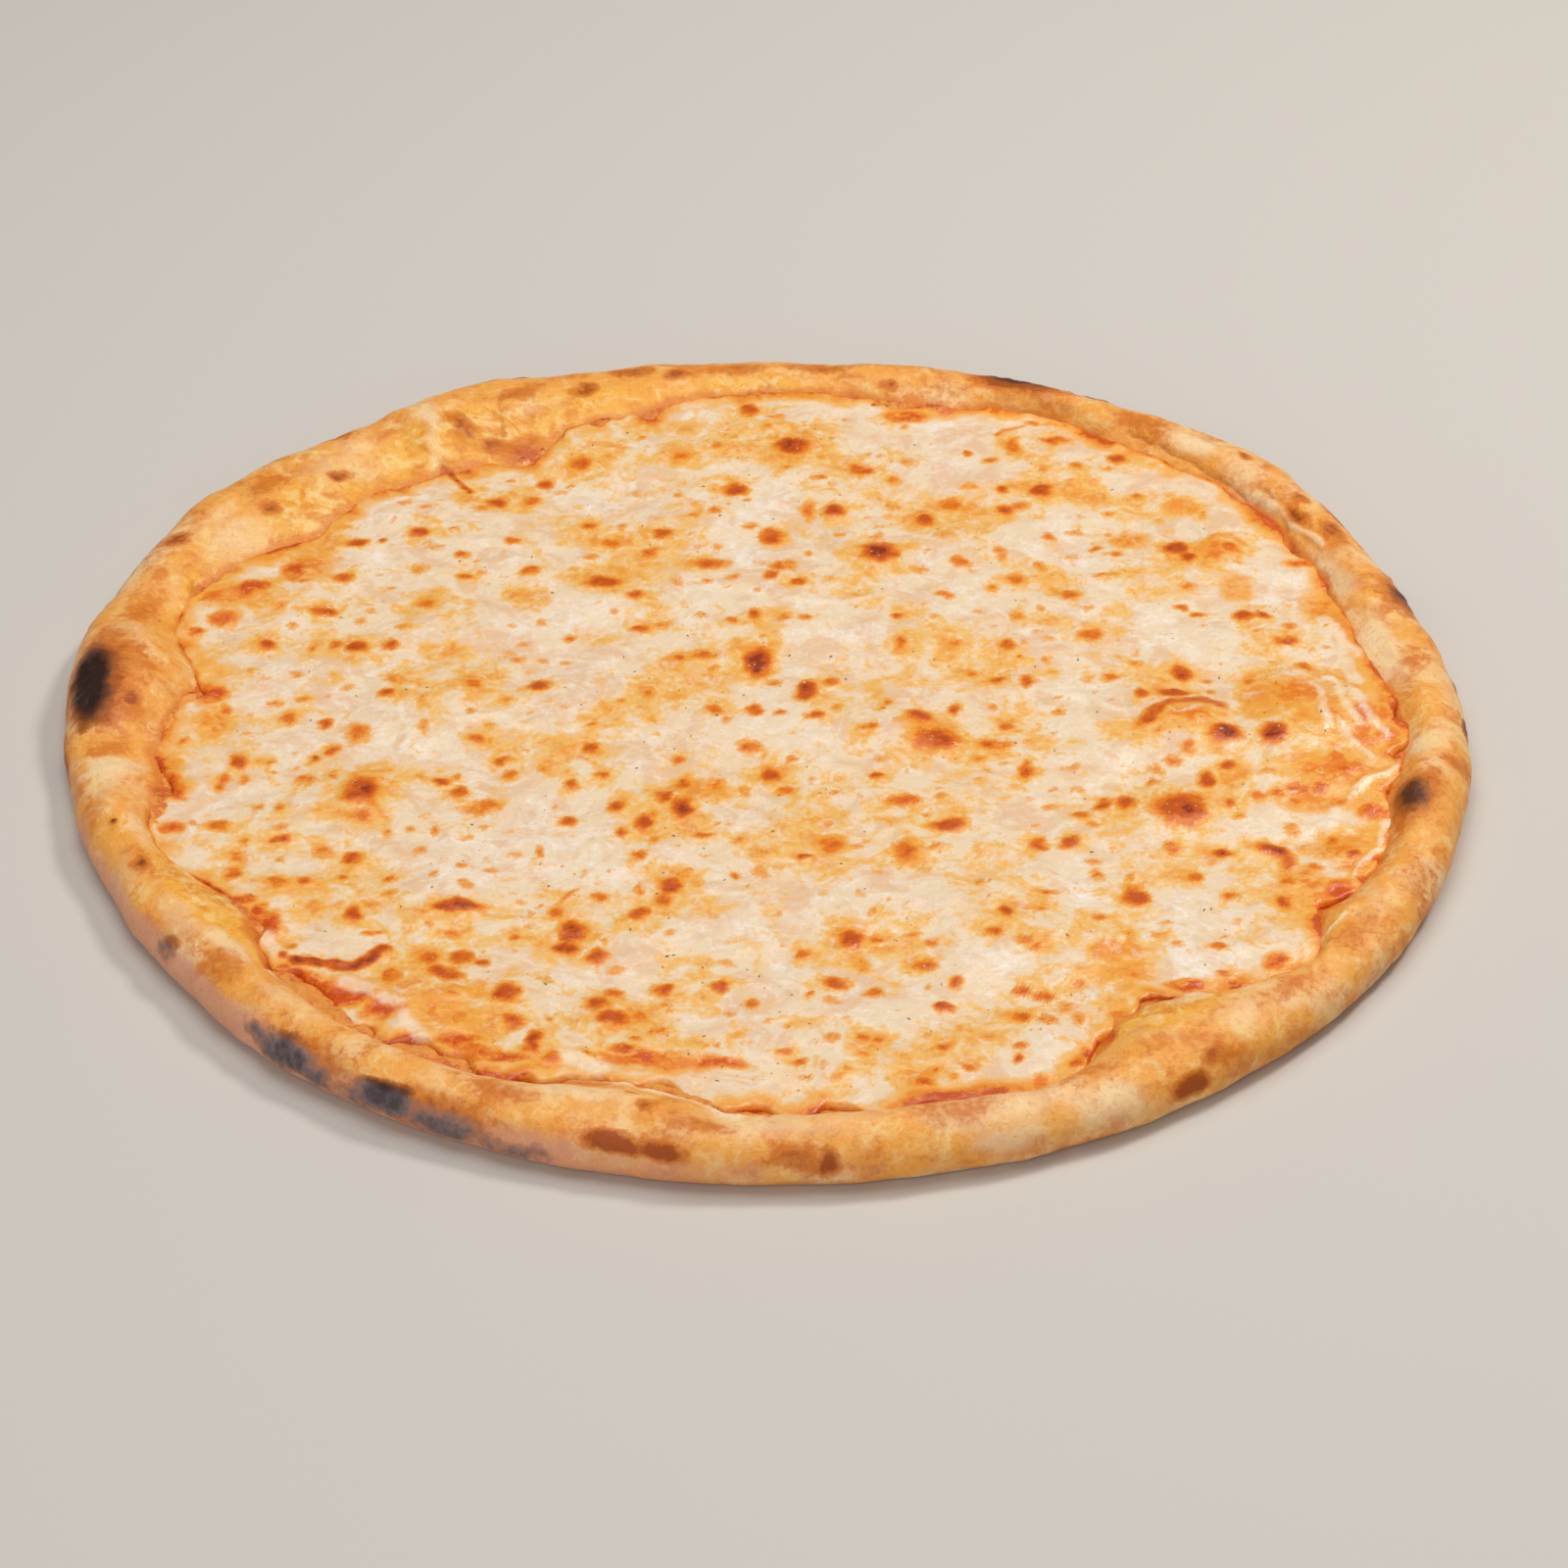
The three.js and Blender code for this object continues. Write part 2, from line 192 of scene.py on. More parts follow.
        (67.5, 94, 6), (38.5, 81, 5), (117, 37.5, 4), (93.5, 5.8, 8, 4), (-106.3, -51.6, 5, 3.3),
        (-90.2, -57.6, 4.8), (1.1, -25.5, 5, 5.5), (35, -5.6, 5.5, 7), (38.3, -14, 12, 8),
        (40, -45.8, 9, 4.3), (-66.8, -98.4, 8, 5, -25), (-54.1, -105.4, 6.5, 7),
        (-29, -124.5, 5, 3), (51.6, -77.7, 3.5, 4), (64, -128.4, 4, 3.5, 45),
    ],
    0.8: [
        (-8, 95.5, 6.5), (112.5, 37, 5), (-116.8, 25.3, 4.5), (-95.6, 25, 5),
        (-88.1, -78.5, 4, 6.5), (-42.2, -89.5, 6, 5), (18.1, -86.6, 5.5, 6), (-31.5, -113.8, 8, 5),
    ],
    0.85: [
        (99, 67, 6), (101.5, 62.5, 5), (96, 14.3, 5.5), (-90, -34, 7.5, 11), (9, 6.5, 6, 8),
        (-20.5, -68, 5, 6), (91.5, -41, 11, 12), (111.3, -55.5, 8.5, 5, -30),
        (-47.3, -122.3, 4, 7.5), (54, -103.9, 4.5, 3.3),
    ],
    0.9: [
        (99.2, -56, 5.5, 3.3), (79.7, -72, 5.5, 7), (-66.1, -75.5, 11.5, 4),
    ],
    0.95: [
        (6, 115.5, 9, 7), (103.7, -14, 7.5, 7), (-40.6, -83.8, 6),
    ],
    1: [
        (27, 66, 8.5), (-2, 19, 7, 11), (-18.3, -40, 5, 8), (114.6, -13.8, 6, 8),
    ],
}

# Curved browned lines on the cheese: (x, y) points, width, strength.
# The short darkest one at (-79, 103) is painted shade in the crease of a fold
BROWN_LINES_AND_CREASE_SHADE = [
    ([(-98.9, -94.4), (-94.6, -94.5), (-88, -96), (-83.9, -94.3), (-81, -90.3)], 3.4, 0.85),
    ([(87, -7), (90.5, -1.7), (94.5, 0.7), (99.5, 0.5), (103, -1.5)], 4.6, 0.6),
    ([(108, 8), (114, 10.5), (119, 14.5), (124, 16), (129, 12.5), (133, 9)], 3, 0.17),
    ([(105, 66), (108, 72), (113, 73), (115, 69)], 2.4, 0.3),
    ([(-79, 103), (-76, 98), (-73.5, 94)], 1.1, 1), ([(58, 122), (66, 128), (76, 126)], 2, 0.35),
]

# Soft orange and yellow patches where the oil stands
AMBER_PATCHES = {
    0.35: [
        (-8, 3, 18, 12),
    ],
    0.4: [
        (-30, -74, 10), (0, 124, 26, 9),
    ],
    0.5: [
        (-57, 47, 14, 9), (-100, 12, 12, 7), (67.6, 36, 7, 5), (83, 39, 8, 7), (67, 15.5, 4, 9),
        (-15, -75, 18, 9), (-1.2, -96, 4, 12), (-6, -118, 5, 9), (-15, -98.8, 9, 4),
        (-12.7, -94, 7, 4), (-62, -38, 13, 9), (102.5, -62, 5), (-25, 124, 20, 8), (88, 70, 12, 10),
        (112, -55, 13, 10),
    ],
    0.6: [
        (-38, 72, 14, 9), (47, 88, 16, 10), (-75, 23.5, 12, 7), (78, -104.5, 8, 5),
        (10, -94, 12, 8), (20, -92, 7, 14), (14, -53, 11), (31, -55.5, 12), (-95, 25, 10, 11),
        (53.5, -113, 10, 9), (-26.2, -45.5, 9, 11), (-104, 105, 9, 20), (-30, -113, 15, 14),
        (136, 10, 8, 20), (117, -48, 10, 8), (-133, 52, 12, 16), (-120, 45, 12, 6),
    ],
    0.7: [
        (-13, -33, 14, 10), (-92.8, -11, 9, 12), (-94, 105, 12, 8), (78, 94, 13, 12),
        (73.5, -108, 8), (-71, -106, 15, 7), (-66, -113, 9, 11), (-15.5, -121.5, 9, 5),
        (38, -12, 17, 13), (131, 38, 10, 12),
    ],
    0.8: [
        (-74, 92, 10), (-98, 95, 11, 8), (103, 87, 11), (64.3, -14.8, 13, 8), (71.5, -98.5, 13, 7),
        (120, -34, 24, 10), (104, -27, 9, 12), (-115, 66, 20, 10), (-106, 76, 12, 18),
        (-92, 100, 20, 10),
    ],
    0.9: [
        (76, -92.5, 15, 8), (-61, -122, 14, 9), (97, -6, 13, 9), (125, -5, 26, 20),
        (126, -25, 26, 16), (128, -52, 18, 14), (-78, -103, 14, 8),
    ],
    1: [
        (116, 0, 18, 20), (134, -33, 14), (97, -7, 18, 14), (-71, -108, 18, 12),
        (-60, -117, 18, 12), (-84, -107, 14, 8),
    ],
}

# Where the sauce shows through, redder than the browning
RED_PATCHES = {
    0.2: [
        (113, -4, 10, 8),
    ],
    0.22: [
        (-100, -68, 10, 8),
    ],
    0.25: [
        (112, 50, 9, 12),
    ],
    0.26: [
        (76, -98, 14, 8),
    ],
    0.28: [
        (-66, -113, 16, 12),
    ],
    0.3: [
        (-90, -33, 9), (128, -8, 8, 9), (-128, 47, 14, 10), (-110, 60, 12), (-106, -86, 9, 12),
        (88, 72, 10, 8), (-126, -6, 10, 12), (131, 42, 9, 12),
    ],
    0.32: [
        (122, -37, 16, 8),
    ],
    0.34: [
        (122, 3, 13, 16), (117, -66, 9, 10), (-88, -103, 16, 9), (-20, -128, 22, 7),
    ],
    0.35: [
        (36, -8, 9),
    ],
    0.36: [
        (124, -55, 14, 8), (96, -7, 12, 9), (129, -61, 10, 6), (120, -72, 10, 8),
    ],
    0.38: [
        (128, -27, 20, 11),
    ],
    0.4: [
        (-44, -129, 6, 4), (121.5, 2, 4, 7), (135, -13, 9, 12), (108, 66, 12, 9),
    ],
    0.45: [
        (118, 2, 5, 8),
    ],
    0.5: [
        (141, -14, 6, 9), (71.7, -63.3, 3, 5), (-60, -124, 10, 4), (119, -75.5, 6, 5),
        (56, -134.7, 3, 5), (66, -101.7, 4, 3), (74, -113, 5), (128, -22, 4), (118, -33, 9, 5),
        (140, -5, 4, 6), (-132, 46, 6, 4),
    ],
    0.6: [
        (-100.5, 26.6, 3.5), (-131, -33, 4, 6), (134, -41, 7, 6), (128.5, 61, 8, 4),
        (138, 43.5, 5, 6), (130, -27.5, 5), (-26, -127, 16, 5), (134, -58, 10, 4), (136, -5, 5, 9),
        (142, 6, 3, 6), (-63, -121, 12, 4),
    ],
    0.7: [
        (-113.5, 58, 6, 9), (-121, 51, 5), (-128, 37, 7), (-108.2, -76.5, 4, 5),
        (-112.5, -72, 7, 3), (-133, -29, 4, 8), (-131, -46, 5), (107.9, -94.4, 5), (35, 131, 11, 6),
        (-9, -127.5, 12, 4), (-67, 113, 7, 6), (-79, -111, 10, 6), (-54, -127, 14, 4),
        (-99.4, -98.7, 7, 8),
    ],
    0.8: [
        (-124, 49.5, 6), (-99.4, -99.2, 8, 9), (-105.3, -81.6, 5, 9), (-128, 4.5, 8),
        (123.9, -70, 7, 8),
    ],
    0.9: [
        (-97, -104, 10, 7), (88, -102.5, 8, 4), (-88, -106, 12, 6),
    ],
    0.95: [
        (-95.3, -103.5, 9, 8),
    ],
}

# Bubbles and folds that stand up from the cheese: x, y, width, height, lift in millimetres
BUBBLES = [
    (123, 3, 22, 20, 1.1), (95, -6, 15, 11, 0.8), (128, -27, 18, 12, 0.6), (104, -13.5, 8, 7, 0.25),
    (114.6, -13.5, 7, 8, 0.25), (91, -41, 13, 11, 0.25), (111, -55.5, 10, 6, 0.5),
    (124, -56, 12, 9, 0.5), (-98, -99, 12, 8, 0.6), (-107, -82, 8, 10, 0.5), (-124, 50, 8, 8, 0.5),
    (-128, 37, 7, 7, 0.4), (-129, 4, 7, 8, 0.5), (-117, 26, 6, 6, 0.3), (-90, -34, 8, 11, 0.3),
    (16, 84, 6, 6, 0.3), (69, 94, 8, 7, 0.35), (132, 55, 8, 8, 0.4), (100, 65, 9, 11, 0.3),
    (-70, -106, 14, 9, 0.5), (-112, 62, 12, 10, 0.5), (37, -12, 13, 9, 0.25), (30, -56, 9, 9, 0.4),
    (138, 14, 6, 22, 0.5), (135, 34, 7, 14, 0.5), (-30, -110, 14, 12, 0.4), (108, 67, 12, 9, 0.5),
    (-20, -40, 12, 12, 0.35),
]

# Where the cheese stops short of the crust: direction and half width in degrees, how far
SAUCE_SHOWS = [
    (229, 4, 5), (240, 3, 2), (177, 3.5, 3.5), (193.5, 3, 4), (216, 2.5, 2.5), (268, 3, 2),
    (344.5, 2.5, 1), (352, 2.5, 1), (328, 2.5, 2.5), (119.5, 3, 5), (28, 2, 2), (300, 2, 2),
]

# Whiter strands and lumps of cheese that stand a little proud: (x, y) points, width.
# The first line, at the right edge, is a painted highlight along an orange fold, raised like the
# rest
WHITE_STRANDS_AND_FOLD_HIGHLIGHT = [
    ([(137, -44), (133, -54), (127, -65)], 1.6), ([(130, 9), (131.5, 1), (134, -8)], 3),
    ([(134, 5), (137, -6), (140, -13)], 2.4), ([(126, 7), (127.5, -2), (126.5, -11)], 2),
    ([(129, -9), (132, -15), (136, -21)], 2.4), ([(111, -26), (113, -31), (117, -34)], 1.8),
    ([(90, -3), (94, -6), (99, -4)], 1.4), ([(126, -40), (124, -46), (118, -48)], 3),
    ([(131, 35), (134, 28), (137, 20)], 4), ([(134, 17), (136, 8)], 4),
    ([(147, -21), (140, -26), (133, -31), (128, -36)], 1.3),
    ([(-106, -86), (-103, -91), (-98, -92)], 4.5), ([(-88, -101), (-82, -104), (-77, -109)], 5),
    ([(-41, -127), (-34, -130)], 5), ([(-2, -125), (2, -130), (6, -135)], 5),
    ([(-75, -113), (-70, -120)], 4), ([(88, -106), (96, -107), (103, -103)], 2.5),
    ([(62, 8), (72, 4), (80, -2)], 3), ([(5, 45), (18, 43), (26, 47)], 3),
    ([(-70, -5), (-62, -3), (-55, -8)], 3),
]

# Marks on the crust: direction, distance from the middle, height, half length along the crust,
# half width across it, strength. A height of None takes the crust's own there.
# Burnt marks come first, then browned ones and pale ones. The pale ones are partly dough that the
# heat missed and partly painted highlight on the crown and the inner lip
CHAR_MARKS = [
    (179.8, 154, 13.2, 13.2, 5.1, 1.15), (215.8, 155.6, 8.6, 4, 3, 0.5),
    (232, 159.2, 6.9, 8, 3.2, 0.86), (229, 158.8, 8.3, 5, 2.4, 0.6),
    (235, 159.6, 5.2, 5, 2.6, 0.62), (241.2, 159.6, 7.3, 6.5, 3.2, 0.96),
    (246, 160, 5.2, 9, 3.4, 0.66), (239, 159.5, 4.6, 6, 2.6, 0.5),
    (251.5, 160.4, 4.2, 10, 2.6, 0.5), (343.8, 148, 12.5, 5.2, 4.2, 0.68),
    (16, 156.8, 8, 5, 4, 0.7), (199.6, 151.3, 11.8, 0.9, 0.9, 0.85),
    (205.9, 149.8, 11.2, 1.1, 1.1, 0.6), (258.4, 158.6, 8, 3, 1.6, 0.22),
    (66, 155.6, 9.8, 9, 2.4, 0.75), (303, 161.2, 6, 3, 1.5, 0.25),
]
BROWN_MARKS = [
    (181.4, 145.3, 12.8, 3, 2.2, 0.7), (183.8, 150.6, None, 4, 3, 0.8),
    (180.6, 148.8, None, 6, 2, 0.55), (178.5, 146, None, 8, 6, 0.45),
    (187.5, 151.5, None, 4, 4, 0.2), (206, 146, None, 9, 5, 0.15), (179, 152.5, 13, 16, 8.5, 0.8),
    (180.2, 152.6, 13.2, 12.5, 5.8, 1), (199.6, 151.3, 11.8, 1.7, 1.7, 0.5),
    (205.9, 149.8, 11.2, 2.4, 2.4, 0.6), (259, 158.3, 8.9, 6, 2.4, 0.95),
    (262.7, 158.8, 8.5, 5, 2, 0.85), (260.6, 148.3, 11.8, 2.2, 1.6, 0.6),
    (259.5, 143.5, None, 2, 1.5, 0.5), (272, 158.5, 8, 5, 2.4, 0.5),
    (274.6, 160.2, 6.9, 2.4, 2.8, 0.8), (302.5, 161, 6.8, 4.6, 2.5, 1),
    (305.5, 158.5, 9, 4, 2.4, 0.55), (314, 153, 11, 7, 4, 0.35), (325, 153, 11, 7, 4, 0.4),
    (343.8, 148, 12.5, 9, 7, 0.6), (16, 156, 8.5, 10, 5, 0.7), (41.3, 157.8, 11.4, 2.5, 2, 0.7),
    (31, 150.8, 10.8, 4, 2, 0.6), (27.2, 153.9, 11.1, 5, 2.5, 0.65), (32.9, 155.5, 10.4, 3, 2, 0.6),
    (66, 154.8, 10.4, 13, 4, 0.8), (108.8, 146.6, 10.5, 4, 2.5, 0.7),
    (99.2, 147.9, 9.8, 4, 2.5, 0.65), (78, 146.1, 9.2, 4, 2, 0.6), (155.4, 156.2, 11, 4, 3, 0.65),
    (137.6, 142.9, 10, 3, 2.4, 0.7), (146.1, 145.2, 10, 3, 2.4, 0.7), (133, 157.8, 10, 5, 3, 0.55),
    (130.4, 159, 9, 5, 3, 0.5), (122.8, 141.5, 11, 3, 7, 0.6), (234, 158.4, 8.5, 13, 4.5, 0.45),
    (245, 159, 7.5, 15, 4.5, 0.5), (168, 151, 12.5, 5, 5, 0.4), (222, 152, 11, 9, 4, 0.35),
    (250, 151, 12, 9, 3, 0.4), (285, 153, 11, 10, 4, 0.3), (297, 151, 11, 8, 4, 0.35),
    (334, 156, 10, 7, 4, 0.35), (5, 151, 11, 8, 4, 0.2), (52, 153, 10, 7, 4, 0.45),
    (85, 152, 10, 9, 3, 0.55), (93, 150, 10, 7, 3, 0.45), (240, 146, None, 7, 2.5, 0.35),
    (265, 153, 10.5, 8, 3, 0.4), (104, 152, 10, 6, 3, 0.5), (115, 150, 11, 7, 3.5, 0.5),
    (349.5, 155, 9, 6, 4, 0.4), (144, 153, 11, 7, 4, 0.45), (262, 128, None, 5, 2.5, 0.5),
    (120.7, 133, None, 4, 3, 0.7), (116.6, 132.5, None, 1.4, 1.2, 0.9),
]
PALE_AND_HIGHLIGHT_MARKS = [
    (45.8, 153.5, 12, 8, 3.6, 0.9), (190.2, 147.2, 9.6, 4, 7, 0.8), (220, 146.5, None, 8, 3.5, 0.8),
    (268, 143.5, None, 4, 2, 0.9), (287.5, 160, 7.5, 8, 3, 0.7), (22, 145, None, 15, 4.5, 0.7),
    (352, 148, None, 4, 3, 0.7), (255, 146, None, 12, 4.5, 0.75), (62, 153.5, 11, 2, 2.5, 0.8),
    (300, 145, None, 9, 5, 0.4), (173, 146, None, 7, 4, 0.5), (208, 157, 8, 9, 3, 0.5),
    (309, 141, None, 7, 4, 0.55), (8, 144.5, None, 14, 5, 0.75), (184, 149, None, 5, 4, 0.6),
    (201, 146, None, 8, 3, 0.7), (214, 150, None, 9, 4, 0.55), (171, 150, None, 5, 5, 0.5),
    (272, 151, None, 22, 5.5, 0.6), (245, 147, None, 9, 3, 0.7), (252, 150, None, 12, 3.5, 0.55),
    (287, 154, None, 15, 6, 0.75), (296, 158, 8, 10, 4.5, 0.6), (206, 154, 11, 12, 4, 0.45),
    (196, 151, None, 8, 4, 0.45), (318, 146, None, 12, 4, 0.4), (36, 147.5, None, 11, 4, 0.6),
    (354, 145, None, 10, 4, 0.5), (125.5, 149, None, 3, 8, 0.7), (152, 145, None, 13, 7, 0.55),
    (136, 145, None, 14, 8, 0.55), (114, 145, None, 14, 6, 0.4), (330, 149, None, 5, 3, 0.5),
    (228, 150, None, 8, 2.5, 0.5),
]

# Pale lips and fine creases of the crust: (direction, distance) points, width, strength.
# A lip stands up and is painted paler, partly for its paler dough and partly as a painted highlight
# along it
CRUST_LIPS = [
    ([(26, 149), (30, 148.4), (34, 149.2), (37, 150)], 2.2, 0.5),
    ([(224, 143.6), (228, 143.2), (232, 143.6), (236, 144.2)], 2.2, 0.6),
    ([(248, 139.8), (250, 138.8), (254, 138.4), (258, 139), (262, 141), (265.5, 144.5),
      (268, 149)], 2.4, 0.8),
    ([(259, 136.4), (262, 137.5), (264, 140.5), (265.5, 144), (267, 148)], 1.8, 0.5),
    ([(318, 145.5), (322, 147.5), (326, 149)], 2.2, 0.6),
    ([(266, 142.5), (268, 143), (270, 145)], 2.4, 0.5),
    ([(123, 160), (124.5, 150), (127, 140), (128, 132)], 4.6, 0.34),
    ([(192, 144), (191, 150), (191.5, 156)], 3, 0.4),
]
# A crease sinks into the crust and is painted darker along it, which is painted shade
CRUST_CREASES = [
    ([(127.4, 133), (128, 127), (128.5, 119)], 1.6, 0.9),
    ([(26, 150.6), (30, 150), (34, 150.8), (37, 151.6)], 1.3, 0.4),
    ([(310, 146), (310.5, 148.5), (311, 151)], 1.3, 0.5),
    ([(185.5, 139), (186, 147), (186.5, 155)], 1.8, 0.3),
    ([(194.5, 139), (195, 147), (196, 154)], 1.6, 0.25),
    ([(268.5, 140), (270, 146), (270.5, 152)], 1.5, 0.5),
    ([(38, 148.5), (45, 149.2), (52, 148.8)], 1.6, 0.5),
    ([(117, 152), (118, 144), (119, 136)], 1.8, 0.5),
    ([(336, 142), (337, 148), (337.5, 154)], 1.6, 0.45),
    ([(353.5, 142), (354, 149), (355, 154)], 1.6, 0.4), ([(205, 143), (204.5, 148)], 1.4, 0.35),
    ([(160, 141), (159.5, 148), (159, 154)], 1.5, 0.4),
]

# Stretches of the inner slope that shine yellow with oil: direction, half width in degrees
OILY_STRETCHES = [(120, 18), (142, 8), (160, 6), (212, 9), (306, 6), (292, 4), (236, 7), (92, 7)]


def srgb(code):
    """The linear colour of a six-figure hex code, as a list of three numbers."""
    parts = [int(code[i : i + 2], 16) / 255 for i in (0, 2, 4)]
    return [c / 12.92 if c <= 0.04045 else ((c + 0.055) / 1.055) ** 2.4 for c in parts]


# Finer colours of the crust
TOASTED = srgb("e07e24")
LIGHT_CRUMB = srgb("fbd288")
DARK_CRUMB = srgb("cc6616")
OILY_BROWN = srgb("e08426")
OILY_CREAM = srgb("fcd68c")
OILY_ORANGE = srgb("e58a30")
# Lip colour: partly the lips' paler dough, partly a painted highlight along them
LIP_PALE_AND_HIGHLIGHT = srgb("fae3b8")
# The next two follow the crust's fine bump: pale specks on its high places, dark ones in its dips,
# partly real speckling and partly painted highlight and painted shade
PALE_SPECK_AND_HIGHLIGHT = srgb("fcdfa8")
DARK_SPECK_AND_SHADE = srgb("c8701e")
SCORCHED = srgb("d6741a")
# Painted shade in the crust's creases
CREASE_SHADE = srgb("c06a26")
SOAKED = srgb("e2822c")
SOAKED_RED = srgb("c4501c")
HALO, DUSTY_HALO = srgb("a05618"), srgb("b07a60")
SMOKE, DUSTY_SMOKE = srgb("6b3a1e"), srgb("806c69")
DUSTY_SOOT = srgb("4e4548")

# Finer colours of the cheese, the sauce and the herbs
BORDER_YELLOW, BORDER_ORANGE, BORDER_RED = srgb("f4b04a"), srgb("ee8c20"), srgb("c84a04")
STAIN_YELLOW, STAIN_ORANGE, STAIN_RED = srgb("f4aa42"), srgb("ec7e16"), srgb("d04804")
STRAND = srgb("fae8cc")
SPOT_RIM = srgb("f2a134")
# The lighter of these two sauce colours is a painted highlight on the tops of the lumps; the darker
# is burnt sauce
SAUCE_PAINTED_HIGHLIGHT, SAUCE_DARK = srgb("f3ad58"), srgb("a33c12")
PALE_HERB = srgb("a88a5c")


def colour(name, code, about):
    return FloatVectorProperty(
        name=name, description=about, subtype="COLOR", size=3, min=0, max=1, default=srgb(code)
    )


def length(name, millimetres, about):
    return FloatProperty(
        name=name, description=about, unit="LENGTH", subtype="DISTANCE", min=0, precision=5,
        default=millimetres * MM,
    )


def power(name, watts, about):
    return FloatProperty(name=name, description=about, unit="POWER", min=0, default=watts)


def number_of(name, number, about):
    return IntProperty(name=name, description=about, min=0, default=number)


class CrustSettings(bpy.types.PropertyGroup):
    """Sizes and colours of the baked crust."""

    swell: length("Swell", 0.75, "Height of the broad unevenness")
    ripple: length("Ripple", 0.2, "Height of the small unevenness")
    golden: colour("Golden", "f6a94a", "Most of the baked crust")
    # The pale colour also covers the pale marks, which are partly painted highlight
    pale: colour("Pale", "fce2b4", "Lips and stretches that the heat missed")
    oily: colour("Oily", "f9b23c", "Inner slope under the oil")
    brown: colour("Brown", "a4480a", "Browned spots")
    char: colour("Char", "321a0f", "Burnt blisters")
    floury: colour("Floury", "e0a082", "Dusty lower side")


class CheeseSettings(bpy.types.PropertyGroup):
    """Sizes and colours of the melted cheese."""

    swell: length("Swell", 0.65, "Height of the broad unevenness")
    ripple: length("Ripple", 0.25, "Height of the small unevenness")
    blister: length("Blister", 0.42, "How far a browned spot stands up")
    small_spots: number_of("Small spots", 420, "Faint spots scattered between the large ones")
    cream: colour("Cream", "f2d7b2", "Most of the cheese")
    white: colour("White", "f8ede0", "Thick cheese")
    blush: colour("Blush", "eabd92", "Thin cheese over the sauce")
    yellow: colour("Yellow", "f6b950", "Where the oil has gathered")
    amber: colour("Amber", "ef8f24", "Rim of a browned spot")
    brown: colour("Brown", "e87a0e", "Browned spot")
    dark: colour("Dark", "c95406", "Middle of a dark spot")
    burnt: colour("Burnt", "8a2f05", "Middle of the darkest spots")


class SauceSettings(bpy.types.PropertyGroup):
    """Sizes and colours of the tomato sauce."""

    lump: length("Lump", 0.75, "Height of the sauce's lumps")
    red: colour("Red", "dc640f", "Thick sauce")
    orange: colour("Orange", "f09a3a", "Thin, oily sauce")
    burnt: colour("Burnt", "5e2413", "Burnt sauce at the edge")


class SprinkleSettings(bpy.types.PropertyGroup):
    """What lies loose on the cheese."""

    herbs: number_of("Herb flecks", 150, "Dried flecks besides the larger ones")
    herb_length: length("Fleck length", 0.8, "Usual length of a fleck")
    drops: number_of("Oil drops", 150, "Number of small drops")
    drop_width: length("Drop width", 0.65, "Usual width of a drop")
    herb: colour("Herb", "94763f", "Dried leaf")
    oil: colour("Oil", "eeb070", "Drop of oil")


class StudioSettings(bpy.types.PropertyGroup):
    """Floor and lights."""

    floor: colour("Floor", "cfc8bf", "Plain floor")
    key: power("Key light", 8.5, "Soft light from the back right")
    top: power("Top light", 8.0, "Large soft light above")
    fill: power("Fill light", 9, "Soft light from the front")
    air: FloatProperty(
        name="Air", description="Brightness of the surroundings", min=0, default=0.16
    )


class PizzaSettings(bpy.types.PropertyGroup):
    """All that a user would change."""

    crust: PointerProperty(type=CrustSettings)
    cheese: PointerProperty(type=CheeseSettings)
    sauce: PointerProperty(type=SauceSettings)
    sprinkle: PointerProperty(type=SprinkleSettings)
    studio: PointerProperty(type=StudioSettings)


class Value:
    """A socket that holds a number, so that plain arithmetic adds the Math nodes."""

    def __init__(self, finish, socket):
        self.finish = finish
        self.socket = socket

    def _math(self, operation, *terms):
        return self.finish.number(operation, *terms)

    def __add__(self, other):
        return self._math("ADD", self, other)

    def __radd__(self, other):
        return self._math("ADD", other, self)

    def __sub__(self, other):
        return self._math("SUBTRACT", self, other)

    def __rsub__(self, other):
        return self._math("SUBTRACT", other, self)

    def __mul__(self, other):
        return self._math("MULTIPLY", self, other)

    def __rmul__(self, other):
        return self._math("MULTIPLY", other, self)


